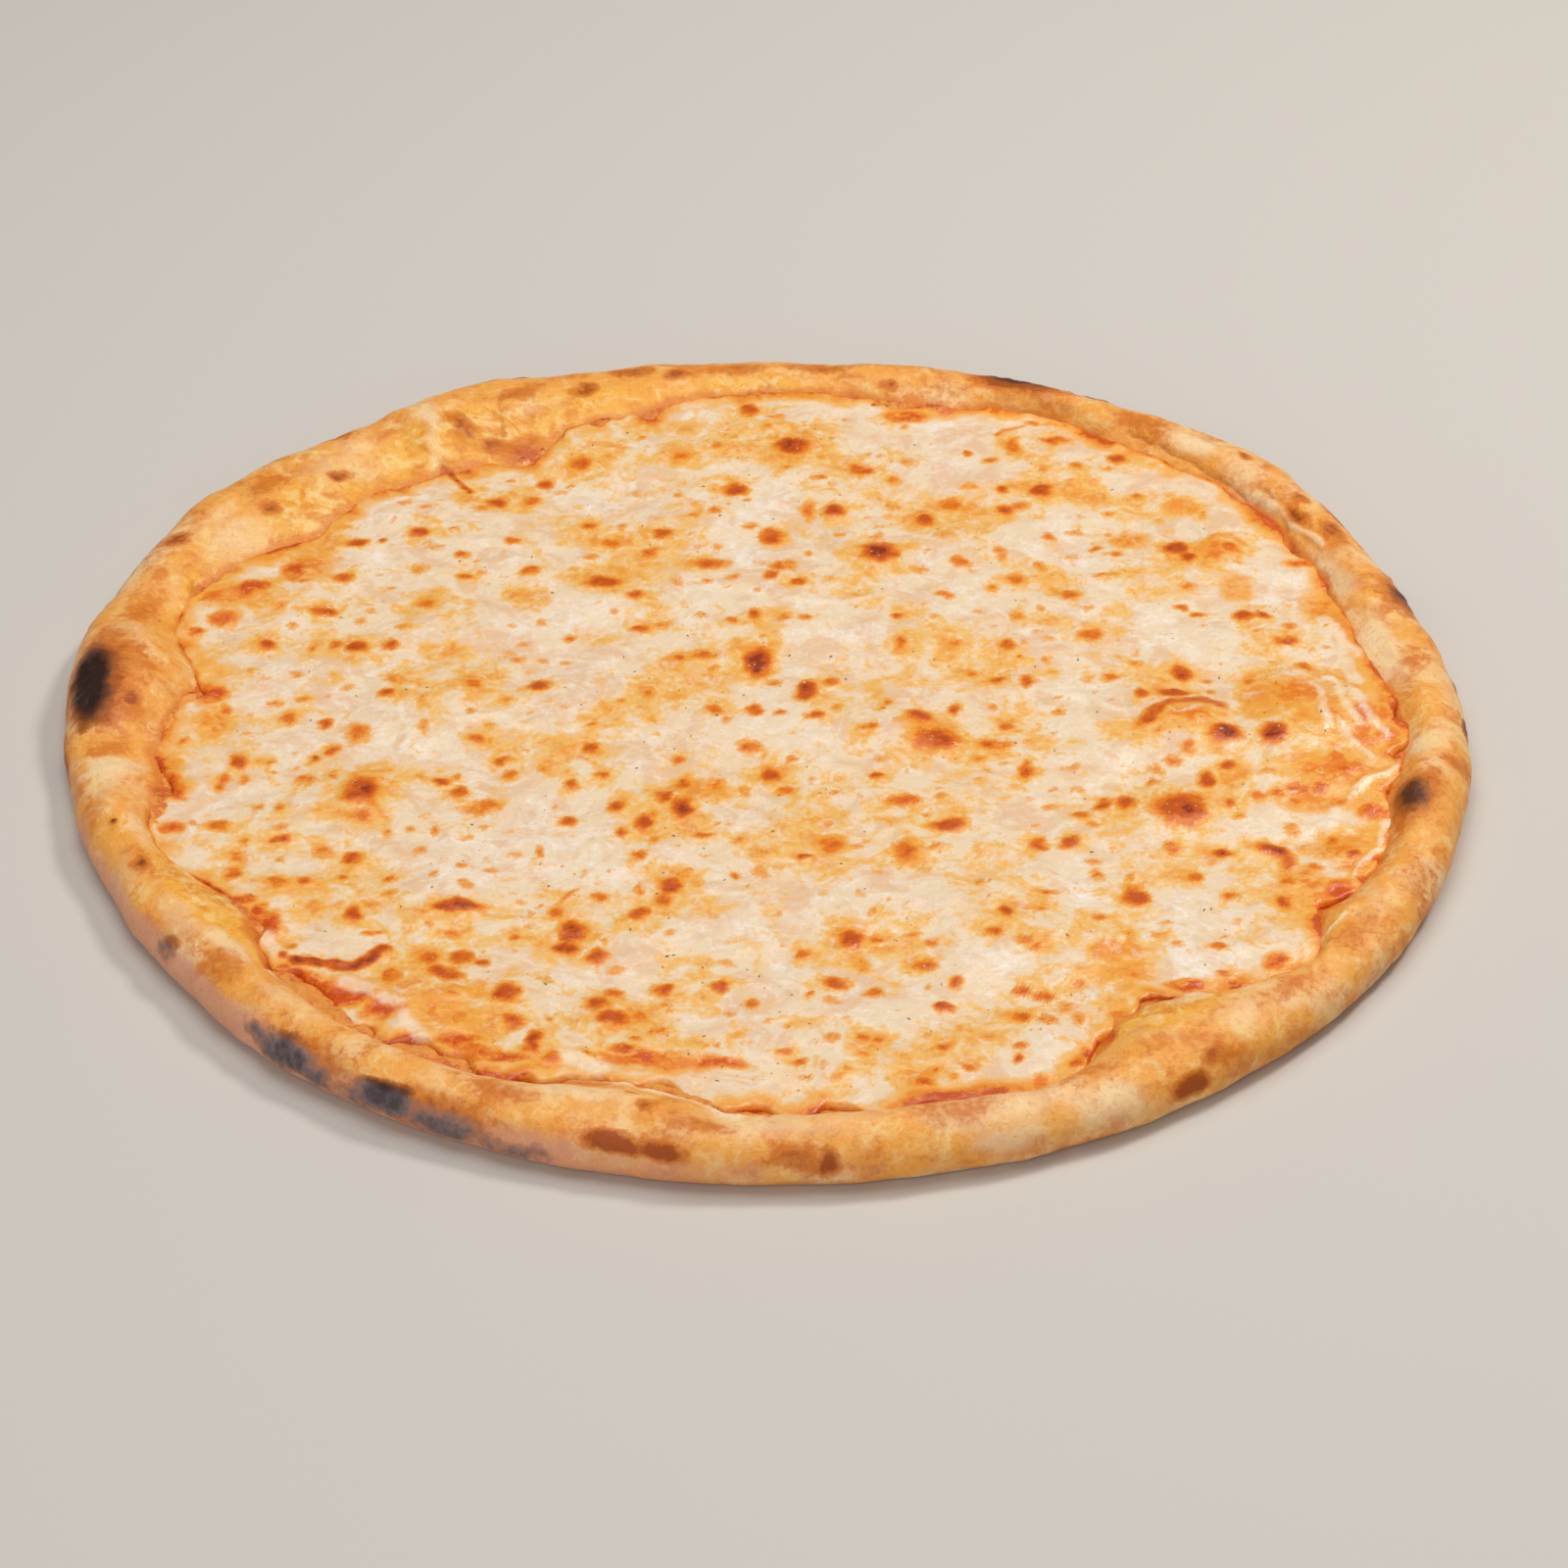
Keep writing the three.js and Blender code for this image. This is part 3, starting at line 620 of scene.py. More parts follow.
class Finish:
    """One material and its nodes."""

    def __init__(self, name):
        self.material = bpy.data.materials.new(name)
        self.material.use_nodes = True
        self.tree = self.material.node_tree
        self.tree.nodes.clear()

    def node(self, kind, settings=None, values=None):
        """A node with its settings made first, and then its sockets set or linked."""
        made = self.tree.nodes.new(kind)
        for name, value in (settings or {}).items():
            setattr(made, name, value)
        for name, value in (values or {}).items():
            socket = made.inputs[name]
            value = value.socket if isinstance(value, Value) else value
            if isinstance(value, bpy.types.NodeSocket):
                self.tree.links.new(value, socket)
            elif socket.type == "RGBA":
                socket.default_value = [*value, 1][:4]
            else:
                socket.default_value = value
        return made

    def number(self, operation, *terms):
        made = self.node("ShaderNodeMath", {"operation": operation}, dict(enumerate(terms)))
        return Value(self, made.outputs[0])

    def place(self):
        return self.node("ShaderNodeTexCoord").outputs["Object"]

    def field(self, name):
        made = self.node("ShaderNodeAttribute", {"attribute_name": name})
        return Value(self, made.outputs["Fac"])

    def grain(self, place, size, detail=3, rough=0.55, shift=0, twist=0):
        """Noise from 0 to 1 with grains of about the size given, in millimetres."""
        moved = self.node(
            "ShaderNodeMapping",
            values={"Vector": place, "Location": (shift * 0.137, shift * 0.071, shift * 0.113)},
        )
        values = {"Vector": moved.outputs[0], "Scale": 1 / (size * MM), "Detail": detail}
        values |= {"Roughness": rough, "Distortion": twist}
        return Value(self, self.node("ShaderNodeTexNoise", None, values).outputs[0])

    def rise(self, value, low, high):
        """0 below the low value and 1 above the high one, with a soft step between."""
        values = {"Value": value, "From Min": low, "From Max": high}
        made = self.node("ShaderNodeMapRange", {"interpolation_type": "SMOOTHSTEP"}, values)
        return Value(self, made.outputs[0])

    def over(self, under, paint, amount):
        """One colour laid over another by the amount given."""
        settings = {"data_type": "RGBA", "clamp_factor": True}
        values = {0: amount, 6: under, 7: paint}
        return self.node("ShaderNodeMix", settings, values).outputs[2]

    def layers(self, paint, rows):
        """Colours laid over one another. Each row is a colour, a value, the two values between
        which the colour comes up, and how much it covers then."""
        for tone, value, low, high, cover in rows:
            paint = self.over(paint, tone, self.rise(value, low, high) * cover)
        return paint

    def bumps(self, height, depth, under=None):
        values = {"Height": height, "Distance": depth * MM, "Strength": 1.0}
        if under is not None:
            values["Normal"] = under
        return self.node("ShaderNodeBump", None, values).outputs[0]

    def close(self, **values):
        """The shader and its output. The names use _ where the sockets have spaces."""
        sockets = {name.replace("_", " "): value for name, value in values.items()}
        shader = self.node("ShaderNodeBsdfPrincipled", None, sockets)
        self.node("ShaderNodeOutputMaterial", None, {"Surface": shader.outputs[0]})
        return self.material


def wander(points, size, seed, octaves=2):
    """Smooth noise of about -1 to 1 at the points, with waves of the size given."""
    shift = Vector((seed * 7.31, seed * 3.17, seed * 5.73))
    scaled = points / size
    return np.array([noise.fractal(Vector(p) + shift, 1.0, 2.0, octaves) for p in scaled])


def soft_step(value, low, high):
    share = np.clip((value - low) / (high - low), 0, 1)
    return share * share * (3 - 2 * share)


def hump(direction, middle, spread):
    """1 at the middle direction, falling to 0 on both sides of it."""
    turn = (direction - middle + 180) % 360 - 180
    return np.exp(-((turn / spread) ** 2))


def all_round(direction, values):
    """Values given at each of DIRECTIONS, at the directions asked for."""
    return np.interp(direction, [*DIRECTIONS, 360], [*values, values[0]])


def ray_tree(mesh):
    """A search tree of a mesh, in millimetres."""
    corners = [v.co / MM for v in mesh.vertices]
    return BVHTree.FromPolygons(corners, [list(p.vertices) for p in mesh.polygons])


def look_down(tree, x, y):
    """Where a line straight down meets a mesh, with the normal there."""
    return tree.ray_cast(Vector((x, y, SKY)), Vector((0, 0, -1)))[:2]


class Skin:
    """A mesh's points in millimetres, with their normals, directions and reach from the middle."""

    def __init__(self, mesh):
        self.mesh = mesh
        count = len(mesh.vertices) * 3
        places, normals = np.empty(count), np.empty(count)
        mesh.vertices.foreach_get("co", places)
        mesh.vertex_normals.foreach_get("vector", normals)
        self.at = places.reshape(-1, 3) / MM
        self.out = normals.reshape(-1, 3)
        self.direction = np.degrees(np.arctan2(self.at[:, 1], self.at[:, 0])) % 360
        self.reach = np.hypot(self.at[:, 0], self.at[:, 1])
        self.warped = self.at

    def warp(self, waves, seed):
        """Moves the places that marks are measured at, so that their outlines wander.
        Each wave is a size and an amount."""
        # Without a seed, noise_vector takes its own shift from the clock
        noise.seed_set(seed)
        shift = Vector((seed, seed, seed))
        for size, amount in waves:
            moves = np.array([noise.noise_vector(Vector(p) + shift) for p in self.at / size])
            self.warped = self.warped + moves * amount

    def blot(self, centre, along, half_along, half_across, strength):
        """A mark: its strength in the middle, falling to 0 outside its edge."""
        apart = self.warped - centre
        ahead = apart @ along
        across = np.maximum((apart * apart).sum(1) - ahead * ahead, 0)
        far = np.sqrt((ahead / half_along) ** 2 + across / half_across**2)
        return strength * np.clip(1.5 - far, 0, 1)

    def line(self, points, width):
        """1 along the middle of a line through the points, falling to 0 past its width."""
        nearest = np.full(len(self.at), 1e9)
        for a, b in zip(points[:-1], points[1:]):
            run = b - a
            share = np.clip((self.warped - a) @ run / (run @ run), 0, 1)
            apart = self.warped - a - share[:, None] * run
            nearest = np.minimum(nearest, (apart * apart).sum(1))
        return np.clip(1.5 - np.sqrt(nearest) / (width / 2), 0, 1)

    def push(self, amount):
        self.at = self.at + self.out * np.asarray(amount)[:, None]

    def keep(self, **fields):
        for name, values in fields.items():
            layer = self.mesh.attributes.new(name, "FLOAT", "POINT")
            layer.data.foreach_set("value", np.asarray(values, np.float32))

    def store(self):
        self.mesh.vertices.foreach_set("co", (self.at * MM).ravel())
        self.mesh.update()


def make_object(name, mesh, material):
    """A smooth-shaded piece that rides on the pizza."""
    piece = bpy.data.objects.new(name, mesh)
    bpy.context.scene.collection.objects.link(piece)
    mesh.materials.clear()
    mesh.materials.append(material)
    mesh.polygons.foreach_set("use_smooth", [True] * len(mesh.polygons))
    mesh.update()
    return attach(piece, "root")


def mesh_from(work, name):
    mesh = bpy.data.meshes.new(name)
    work.to_mesh(mesh)
    work.free()
    return mesh


def joined_copy(node):
    """A copy of a solid's mesh with its doubles merged and its triangles joined to quads."""
    work = bmesh.new()
    work.from_mesh(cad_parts[node].data)
    bmesh.ops.remove_doubles(work, verts=work.verts[:], dist=0.01 * MM)
    bmesh.ops.join_triangles(
        work, faces=work.faces[:], angle_face_threshold=math.pi, angle_shape_threshold=math.pi
    )
    return work


def refined(mesh, levels):
    """The mesh after smooth subdivision."""
    holder = bpy.data.objects.new("holder", mesh)
    bpy.context.scene.collection.objects.link(holder)
    smooth = holder.modifiers.new("Smooth", "SUBSURF")
    smooth.levels = smooth.render_levels = levels
    graph = bpy.context.evaluated_depsgraph_get()
    made = bpy.data.meshes.new_from_object(holder.evaluated_get(graph))
    bpy.data.objects.remove(holder)
    return made


def outward(direction):
    turn = math.radians(direction)
    return np.array([math.cos(turn), math.sin(turn), 0])


def onward(direction):
    turn = math.radians(direction)
    return np.array([-math.sin(turn), math.cos(turn), 0])


def fine_crust_mesh():
    """The dough's form with the rim's long edges cut once and then smoothly subdivided."""
    work = joined_copy("dough")
    rim, least_turn = RIM_START * MM, math.radians(1.5)
    round_edges = []
    for edge in work.edges:
        a, b = edge.verts[0].co, edge.verts[1].co
        if min(a.xy.length, b.xy.length) > rim and abs(a.xy.angle(b.xy)) > least_turn:
            round_edges.append(edge)
    bmesh.ops.subdivide_edges(work, edges=round_edges, cuts=1, use_grid_fill=True)
    return refined(mesh_from(work, "baked_crust"), 2)


def crust_fields(skin, tree):
    """The crust's marks as numbers at each point."""

    def centre(direction, distance, height):
        place = outward(direction) * distance
        if height is None:
            hit = look_down(tree, place[0], place[1])[0]
            height = hit.z if hit else 8
        place[2] = height
        return place

    def marks(rows):
        most = np.zeros(len(skin.at))
        for direction, distance, height, along, across, strength in rows:
            place = centre(direction, distance, height)
            most = np.maximum(most, skin.blot(place, onward(direction), along, across, strength))
        return most

    def lines(rows):
        most = np.zeros(len(skin.at))
        for points, width, strength in rows:
            places = [centre(direction, distance, None) for direction, distance in points]
            most = np.maximum(most, strength * skin.line(places, width))
        return most

    oily = np.zeros(len(skin.at))
    for middle, spread in OILY_STRETCHES:
        oily = np.maximum(oily, hump(skin.direction, middle, spread))
    inner = soft_step(-skin.reach, -152, -144) * soft_step(skin.out[:, 2], 0.2, 0.6)
    hidden = hidden_side_marks(5, 26)
    return {
        "char": marks(CHAR_MARKS + [row for row in hidden if row[-1] > 0.75]),
        "brown": marks(BROWN_MARKS + hidden),
        "pale": marks(PALE_AND_HIGHLIGHT_MARKS),
        "lips": lines(CRUST_LIPS),
        "crease": lines(CRUST_CREASES),
        "oily": inner * (0.35 + 0.65 * oily),
    }


def hidden_side_marks(seed, count):
    """Burnt and browned marks for the sides that the photograph doesn't show."""
    draw = random.Random(seed)
    rows = []
    for _ in range(count):
        direction = draw.uniform(-10, 190)
        size = draw.uniform(1.6, 5.5)
        height, along = draw.uniform(2.5, 8.5), size * draw.uniform(1, 2)
        rows.append((direction, 160, height, along, size * 0.6, draw.uniform(0.4, 0.95)))
    return rows


def crust_material(settings):
    finish = Finish("Baked crust")
    at = finish.place()
    dust, oily = finish.field("dust"), finish.field("oily")
    broad = finish.grain(at, 17, 4, 0.55, 1)
    patchy = finish.grain(at, 9, 5, 0.62, 2)
    baked = finish.grain(at, 6.5, 5, 0.65, 21, 0.6)
    mottle = finish.grain(at, 5.5, 5, 0.62, 18, 1.0)
    fine = finish.grain(at, 1.8, 5, 0.68, 3)
    specks = finish.grain(at, 0.8, 2, 0.5, 4)
    patches, crumbs = patchy - 0.5, fine - 0.5
    pale = finish.field("pale") + patches * 0.8 + crumbs * 0.4
    scorch = finish.field("brown") + patches * 0.9 + crumbs * 0.8
    soaked = finish.field("stain") + patches * 0.9 + crumbs * 0.7
    dusty = finish.rise(dust, 0.35, 0.75)
    burn = finish.field("char") + crumbs * (dusty * 0.5 + 0.4) + patches * 0.4
    rows = [
        (settings.pale, broad, 0.47, 0.68, 0.6),
        (TOASTED, patchy + crumbs * 0.6, 0.46, 0.64, 0.8),
        (LIGHT_CRUMB, baked + crumbs * 0.35, 0.48, 0.7, 0.75),
        (DARK_CRUMB, 1 - baked + crumbs * 0.35, 0.54, 0.76, 0.5),
        (settings.oily, oily + patches * 0.8, 0.3, 0.8, 0.85),
        (OILY_BROWN, oily + patches * 2.4, 0.7, 1.3, 0.65),
        (OILY_CREAM, oily + (mottle - 0.5) * 4, 0.7, 1.5, 0.8),
        (OILY_ORANGE, oily + (0.5 - mottle) * 4, 0.95, 1.5, 0.7),
        # Pale marks: partly paler dough, partly painted highlight
        (settings.pale, pale, 0.15, 1.1, 0.8),
        # Lips: partly paler dough, partly painted highlight
        (LIP_PALE_AND_HIGHLIGHT, finish.field("lips"), 0.1, 0.7, 0.85),
        (settings.floury, dust + patches * 0.7 + crumbs * 0.4, 0.2, 0.85, 0.85),
        # Specks that follow the fine bump: partly real speckling, partly painted highlight on its
        # high places and painted shade in its dips
        (PALE_SPECK_AND_HIGHLIGHT, fine * 0.6 + specks * 0.4, 0.55, 0.7, 0.35),
        (DARK_SPECK_AND_SHADE, 1 - fine, 0.53, 0.7, 0.3),
        (SCORCHED, scorch, 0.08, 0.42, 0.85),
        (settings.brown, scorch, 0.4, 0.76, 0.92),
        # Painted shade down the creases
        (CREASE_SHADE, finish.field("crease"), 0.15, 0.7, 0.7),
        (SOAKED, soaked, 0.2, 0.6, 0.8),
        (SOAKED_RED, soaked, 0.62, 1.0, 0.8),
        (finish.over(HALO, DUSTY_HALO, dusty), burn, 0.1, 0.42, 0.85),
        (finish.over(SMOKE, DUSTY_SMOKE, dusty), burn, 0.36, 0.66, 1),
        (finish.over(settings.char, DUSTY_SOOT, dusty), burn, 0.56, 0.98, 1),
    ]
    gloss = 0.4 - finish.rise(oily, 0.3, 0.9) * 0.12 + dust * 0.2 + crumbs * 0.3
    gloss = gloss - finish.rise(burn, 0.6, 0.85) * 0.12
    surface = finish.bumps(fine, 0.4)
    surface = finish.bumps(specks, 0.1, surface)
    return finish.close(
        Base_Color=finish.layers(settings.golden, rows),
        Roughness=gloss,
        Normal=surface,
        Subsurface_Weight=0.06,
        Subsurface_Radius=(0.9, 0.45, 0.2),
        Subsurface_Scale=0.001,
        Specular_IOR_Level=0.26,
    )


class PIZZA_OT_crust(bpy.types.Operator):
    """Makes the baked crust from the dough's solid"""

    bl_idname = "pizza.crust"
    bl_label = "Baked crust"

    def execute(self, context):
        settings = context.scene.pizza.crust
        tree = ray_tree(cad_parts["dough"].data)
        mesh = fine_crust_mesh()
        skin = Skin(mesh)
        skin.warp([(9, 1.2), (3, 0.8)], 3)
        rim = soft_step(skin.reach, RIM_START, RIM_FULL) * soft_step(skin.at[:, 2], 0.2, 1.6)
        fields = crust_fields(skin, tree)
        swell = wander(skin.at, 17, 1, 2) * settings.swell / MM
        ripple = wander(skin.at, 4.5, 2, 3) * settings.ripple / MM
        char = fields["char"]
        blister = 0.5 * np.clip(char, 0, 0.8) - 0.5 * np.clip(char - 0.8, 0, 1)
        ripple *= 1 + 1.6 * fields["oily"] + 2 * np.clip(char, 0, 1)
        folds = LIP_HEIGHT * fields["lips"] - CREASE_DEPTH * fields["crease"]
        skin.push(rim * (swell + ripple + folds + blister))
        dusty = hump(skin.direction, *DUSTY_SIDE)
        side = soft_step(-skin.at[:, 2] + 2 * dusty, -10.5, -4.8) * soft_step(skin.reach, 148, 156)
        fields["dust"] = side * (0.2 + 0.85 * dusty)
        skin.at[:, 2] = np.maximum(skin.at[:, 2], 0)
        fields["dust"] = np.maximum(fields["dust"], 0.8 * (skin.at[:, 2] < 0.3))
        wall = soft_step(-skin.at[:, 2], -9.2, -6.4) * soft_step(-skin.reach, -154, -150)
        fields["stain"] = wall * (0.75 + 0.5 * wander(skin.at, 9, 14, 2))
        skin.keep(**fields)
        skin.store()
        piece = make_object("baked_crust", mesh, crust_material(settings))
        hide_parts("dough")
        return {"FINISHED"}


def solid_heights(tree, at, limit, missing=None):
    """The solid's height under each place, or at the nearest place within the limit."""
    reach = np.maximum(np.hypot(at[:, 0], at[:, 1]), 1e-6)
    pull = np.minimum(1, limit / reach)
    hits = [look_down(tree, x, y)[0] for x, y in at[:, :2] * pull[:, None]]
    heights = np.array([hit.z if hit else np.nan for hit in hits])
    missing = np.nanmean(heights) if missing is None else missing
    return np.where(np.isnan(heights), missing, heights)


def edge_reach(tree, height):
    """The solid's distance from the middle at a height, in each direction."""
    found = []
    for direction in DIRECTIONS:
        way = Vector(outward(direction))
        hit = tree.ray_cast(way * 200 + Vector((0, 0, height)), -way)[0]
        found.append(hit.xy.length)
    return np.array(found)


def wall_reach(height):
    """How far it is from the middle to the inside of the crust at a height, all round."""
    tree = ray_tree(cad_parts["dough"].data)
    middle = Vector((0, 0, height))
    return np.array([tree.ray_cast(middle, Vector(outward(d)))[0].xy.length for d in DIRECTIONS])


def disc_grid(steps):
    """A square grid drawn out to a round one of radius 1."""
    work = bmesh.new()
    bmesh.ops.create_grid(work, x_segments=steps, y_segments=steps, size=1)
    for vert in work.verts:
        u, v = vert.co.x, vert.co.y
        vert.co.z = 0
        vert.co.x = u * math.sqrt(1 - v * v / 2)
        vert.co.y = v * math.sqrt(1 - u * u / 2)
    return work


def smoothed(heights, x, y, cell, reach):
    """Heights averaged over their neighbours on an even grid, which takes the facets away."""
    low = -reach
    count = int(2 * reach / cell) + 2
    total, weight = np.zeros((count, count)), np.zeros((count, count))
    column = np.clip(((x - low) / cell).astype(int), 0, count - 1)
    row = np.clip(((y - low) / cell).astype(int), 0, count - 1)
    np.add.at(total, (row, column), heights)
    np.add.at(weight, (row, column), 1.0)
    for _ in range(5):
        for axis in (0, 1):
            total = (np.roll(total, 1, axis) + 2 * total + np.roll(total, -1, axis)) / 4
            weight = (np.roll(weight, 1, axis) + 2 * weight + np.roll(weight, -1, axis)) / 4
    even = total / np.maximum(weight, 1e-9)
    across, up = (x - low) / cell - 0.5, (y - low) / cell - 0.5
    c0, r0 = np.clip(across.astype(int), 0, count - 2), np.clip(up.astype(int), 0, count - 2)
    fc, fr = np.clip(across - c0, 0, 1), np.clip(up - r0, 0, 1)
    lower = even[r0, c0] * (1 - fc) + even[r0, c0 + 1] * fc
    upper = even[r0 + 1, c0] * (1 - fc) + even[r0 + 1, c0 + 1] * fc
    return lower * (1 - fr) + upper * fr


def spread_disc(steps, edge):
    """A round grid spread out to an uneven edge. Gives the mesh work and each point's place,
    distance from the edge and direction."""
    work = disc_grid(steps)
    at = np.array([v.co[:] for v in work.verts])
    direction = np.degrees(np.arctan2(at[:, 1], at[:, 0])) % 360
    share = np.hypot(at[:, 0], at[:, 1])
    rim = all_round(direction, edge)
    at[:, 0] *= rim
    at[:, 1] *= rim
    return work, at, rim * (1 - share), direction


def close_below(work, level, tuck):
    """Draws the open edge down to a level and in, and closes the flat underside with a fan."""
    border = [e for e in work.edges if e.is_boundary]
    made = bmesh.ops.extrude_edge_only(work, edges=border)["geom"]
    lower = [g for g in made if isinstance(g, bmesh.types.BMVert)]
    for vert in lower:
        inward = vert.co.xy.normalized() * tuck * MM
        vert.co = Vector((vert.co.x - inward.x, vert.co.y - inward.y, level * MM))
    loop = [g for g in made if isinstance(g, bmesh.types.BMEdge) and g.is_boundary]
    below = bmesh.ops.contextual_create(work, geom=loop)["faces"]
    bmesh.ops.poke(work, faces=below)
    bmesh.ops.recalc_face_normals(work, faces=work.faces[:])


def lay_on(work, at):
    for vert, place in zip(work.verts, at):
        vert.co = Vector(place) * MM


def small_spots(settings, skin_spots, seed):
    """Faint small spots between the large ones."""
    draw = random.Random(seed)
    rows = []
    while len(rows) < settings.small_spots:
        distance, direction = 136 * math.sqrt(draw.random()), draw.uniform(0, 360)
        x, y = (outward(direction) * distance)[:2]
        if min((x - s[0]) ** 2 + (y - s[1]) ** 2 for s in skin_spots) < 20:
            continue
        size = draw.uniform(1.2, 3.2)
        rows.append((x, y, size * draw.uniform(0.8, 1.5), size, draw.uniform(0.16, 0.42)))
    return rows


def rows_of(groups):
    """The rows of a table sorted by strength: x, y, width, height, strength and turn."""
    rows = []
    for strength, marks in groups.items():
        for x, y, wide, *rest in marks:
            high, turn = (*rest, 0)[:2] if rest else (wide, 0)
            rows.append((x, y, wide, high, strength, turn))
    return rows


def flat_blots(skin, rows):
    """The strongest of the ellipses at each point of the cheese."""
    most = np.zeros(len(skin.at))
    for x, y, wide, high, strength, *turn in rows:
        near = (abs(skin.at[:, 0] - x) < wide + high) & (abs(skin.at[:, 1] - y) < wide + high)
        angle = math.radians(turn[0] if turn else 0)
        apart_x, apart_y = skin.warped[near, 0] - x, skin.warped[near, 1] - y
        along = apart_x * math.cos(angle) + apart_y * math.sin(angle)
        across = apart_y * math.cos(angle) - apart_x * math.sin(angle)
        far = np.sqrt((2 * along / wide) ** 2 + (2 * across / high) ** 2)
        most[near] = np.maximum(most[near], strength * np.clip(1.42 - far, 0, 1))
    return most


def flat_lines(skin, rows):
    most = np.zeros(len(skin.at))
    level = skin.warped.copy()
    skin.warped = skin.warped * np.array([1, 1, 0])
    for points, width, *strength in rows:
        places = [np.array([x, y, 0.0]) for x, y in points]
        most = np.maximum(most, (strength[0] if strength else 1) * skin.line(places, width))
    skin.warped = level
    return most


def cheese_material(settings):
    finish = Finish("Melted cheese")
    at = finish.place()
    broad = finish.grain(at, 24, 3, 0.55, 5)
    thin = finish.grain(at, 12, 5, 0.65, 9, 1.0)
    patchy = finish.grain(at, 8, 5, 0.62, 6, 0.8)
    curds = finish.grain(at, 3.2, 5, 0.65, 7, 0.9)
    fine = finish.grain(at, 1.0, 4, 0.65, 8)
    patches, lumps, crumbs = patchy - 0.5, curds - 0.5, fine - 0.5
    gold = finish.field("amber") * 0.8 + patches * 2.2 + (broad - 0.5) * 1.8
    gold = gold + lumps * 1.2 + crumbs * 0.6
    border = finish.field("border") * (patches * 1.8 + lumps * 1.4 + 1.0)
    stain = finish.field("red") * (lumps * 3.2 + crumbs * 1.2 + 1.05)
    baked = finish.field("brown") + crumbs * 0.45 + lumps * 0.4
    rows = [
        (settings.white, patchy * 0.55 + curds * 0.45, 0.46, 0.6, 0.95),
        (settings.blush, thin, 0.46, 0.62, 0.75),
        (settings.yellow, gold, -0.04, 0.4, 0.9),
        (settings.amber, gold, 0.3, 0.9, 0.85),
        (settings.white, finish.grain(at, 4.5, 5, 0.6, 19, 1.4) + crumbs * 0.3, 0.5, 0.72, 0.45),
        (BORDER_YELLOW, border, 0.08, 0.4, 0.85),
        (BORDER_ORANGE, border, 0.36, 0.75, 0.92),
        (BORDER_RED, border, 0.75, 1.1, 0.95),
        (STAIN_YELLOW, stain, 0.0, 0.2, 0.85),
        (STAIN_ORANGE, stain, 0.18, 0.42, 0.92),
        (STAIN_RED, stain, 0.42, 0.82, 0.92),
        (STRAND, finish.field("white") + crumbs * 0.5 + lumps * 1.1, 0.15, 0.75, 0.7),
        (SPOT_RIM, baked, 0.04, 0.26, 0.85),
        (settings.brown, baked, 0.24, 0.46, 1),
        (settings.dark, baked, 0.42, 0.72, 1),
        (settings.burnt, baked, 0.74, 1.05, 1),
    ]
    gloss = 0.33 + lumps * 0.25 - finish.rise(gold, 0.3, 0.9) * 0.1
    surface = finish.bumps(finish.grain(at, 3, 2, 0.5, 17), 0.4)
    surface = finish.bumps(fine, 0.12, surface)
    return finish.close(
        Base_Color=finish.layers(settings.cream, rows),
        Roughness=gloss,
        Normal=surface,
        Subsurface_Weight=0.1,
        Subsurface_Radius=(1.0, 0.6, 0.35),
        Subsurface_Scale=0.0012,
        Specular_IOR_Level=0.5,
        Coat_Weight=0.08,
        Coat_Roughness=0.1,
    )


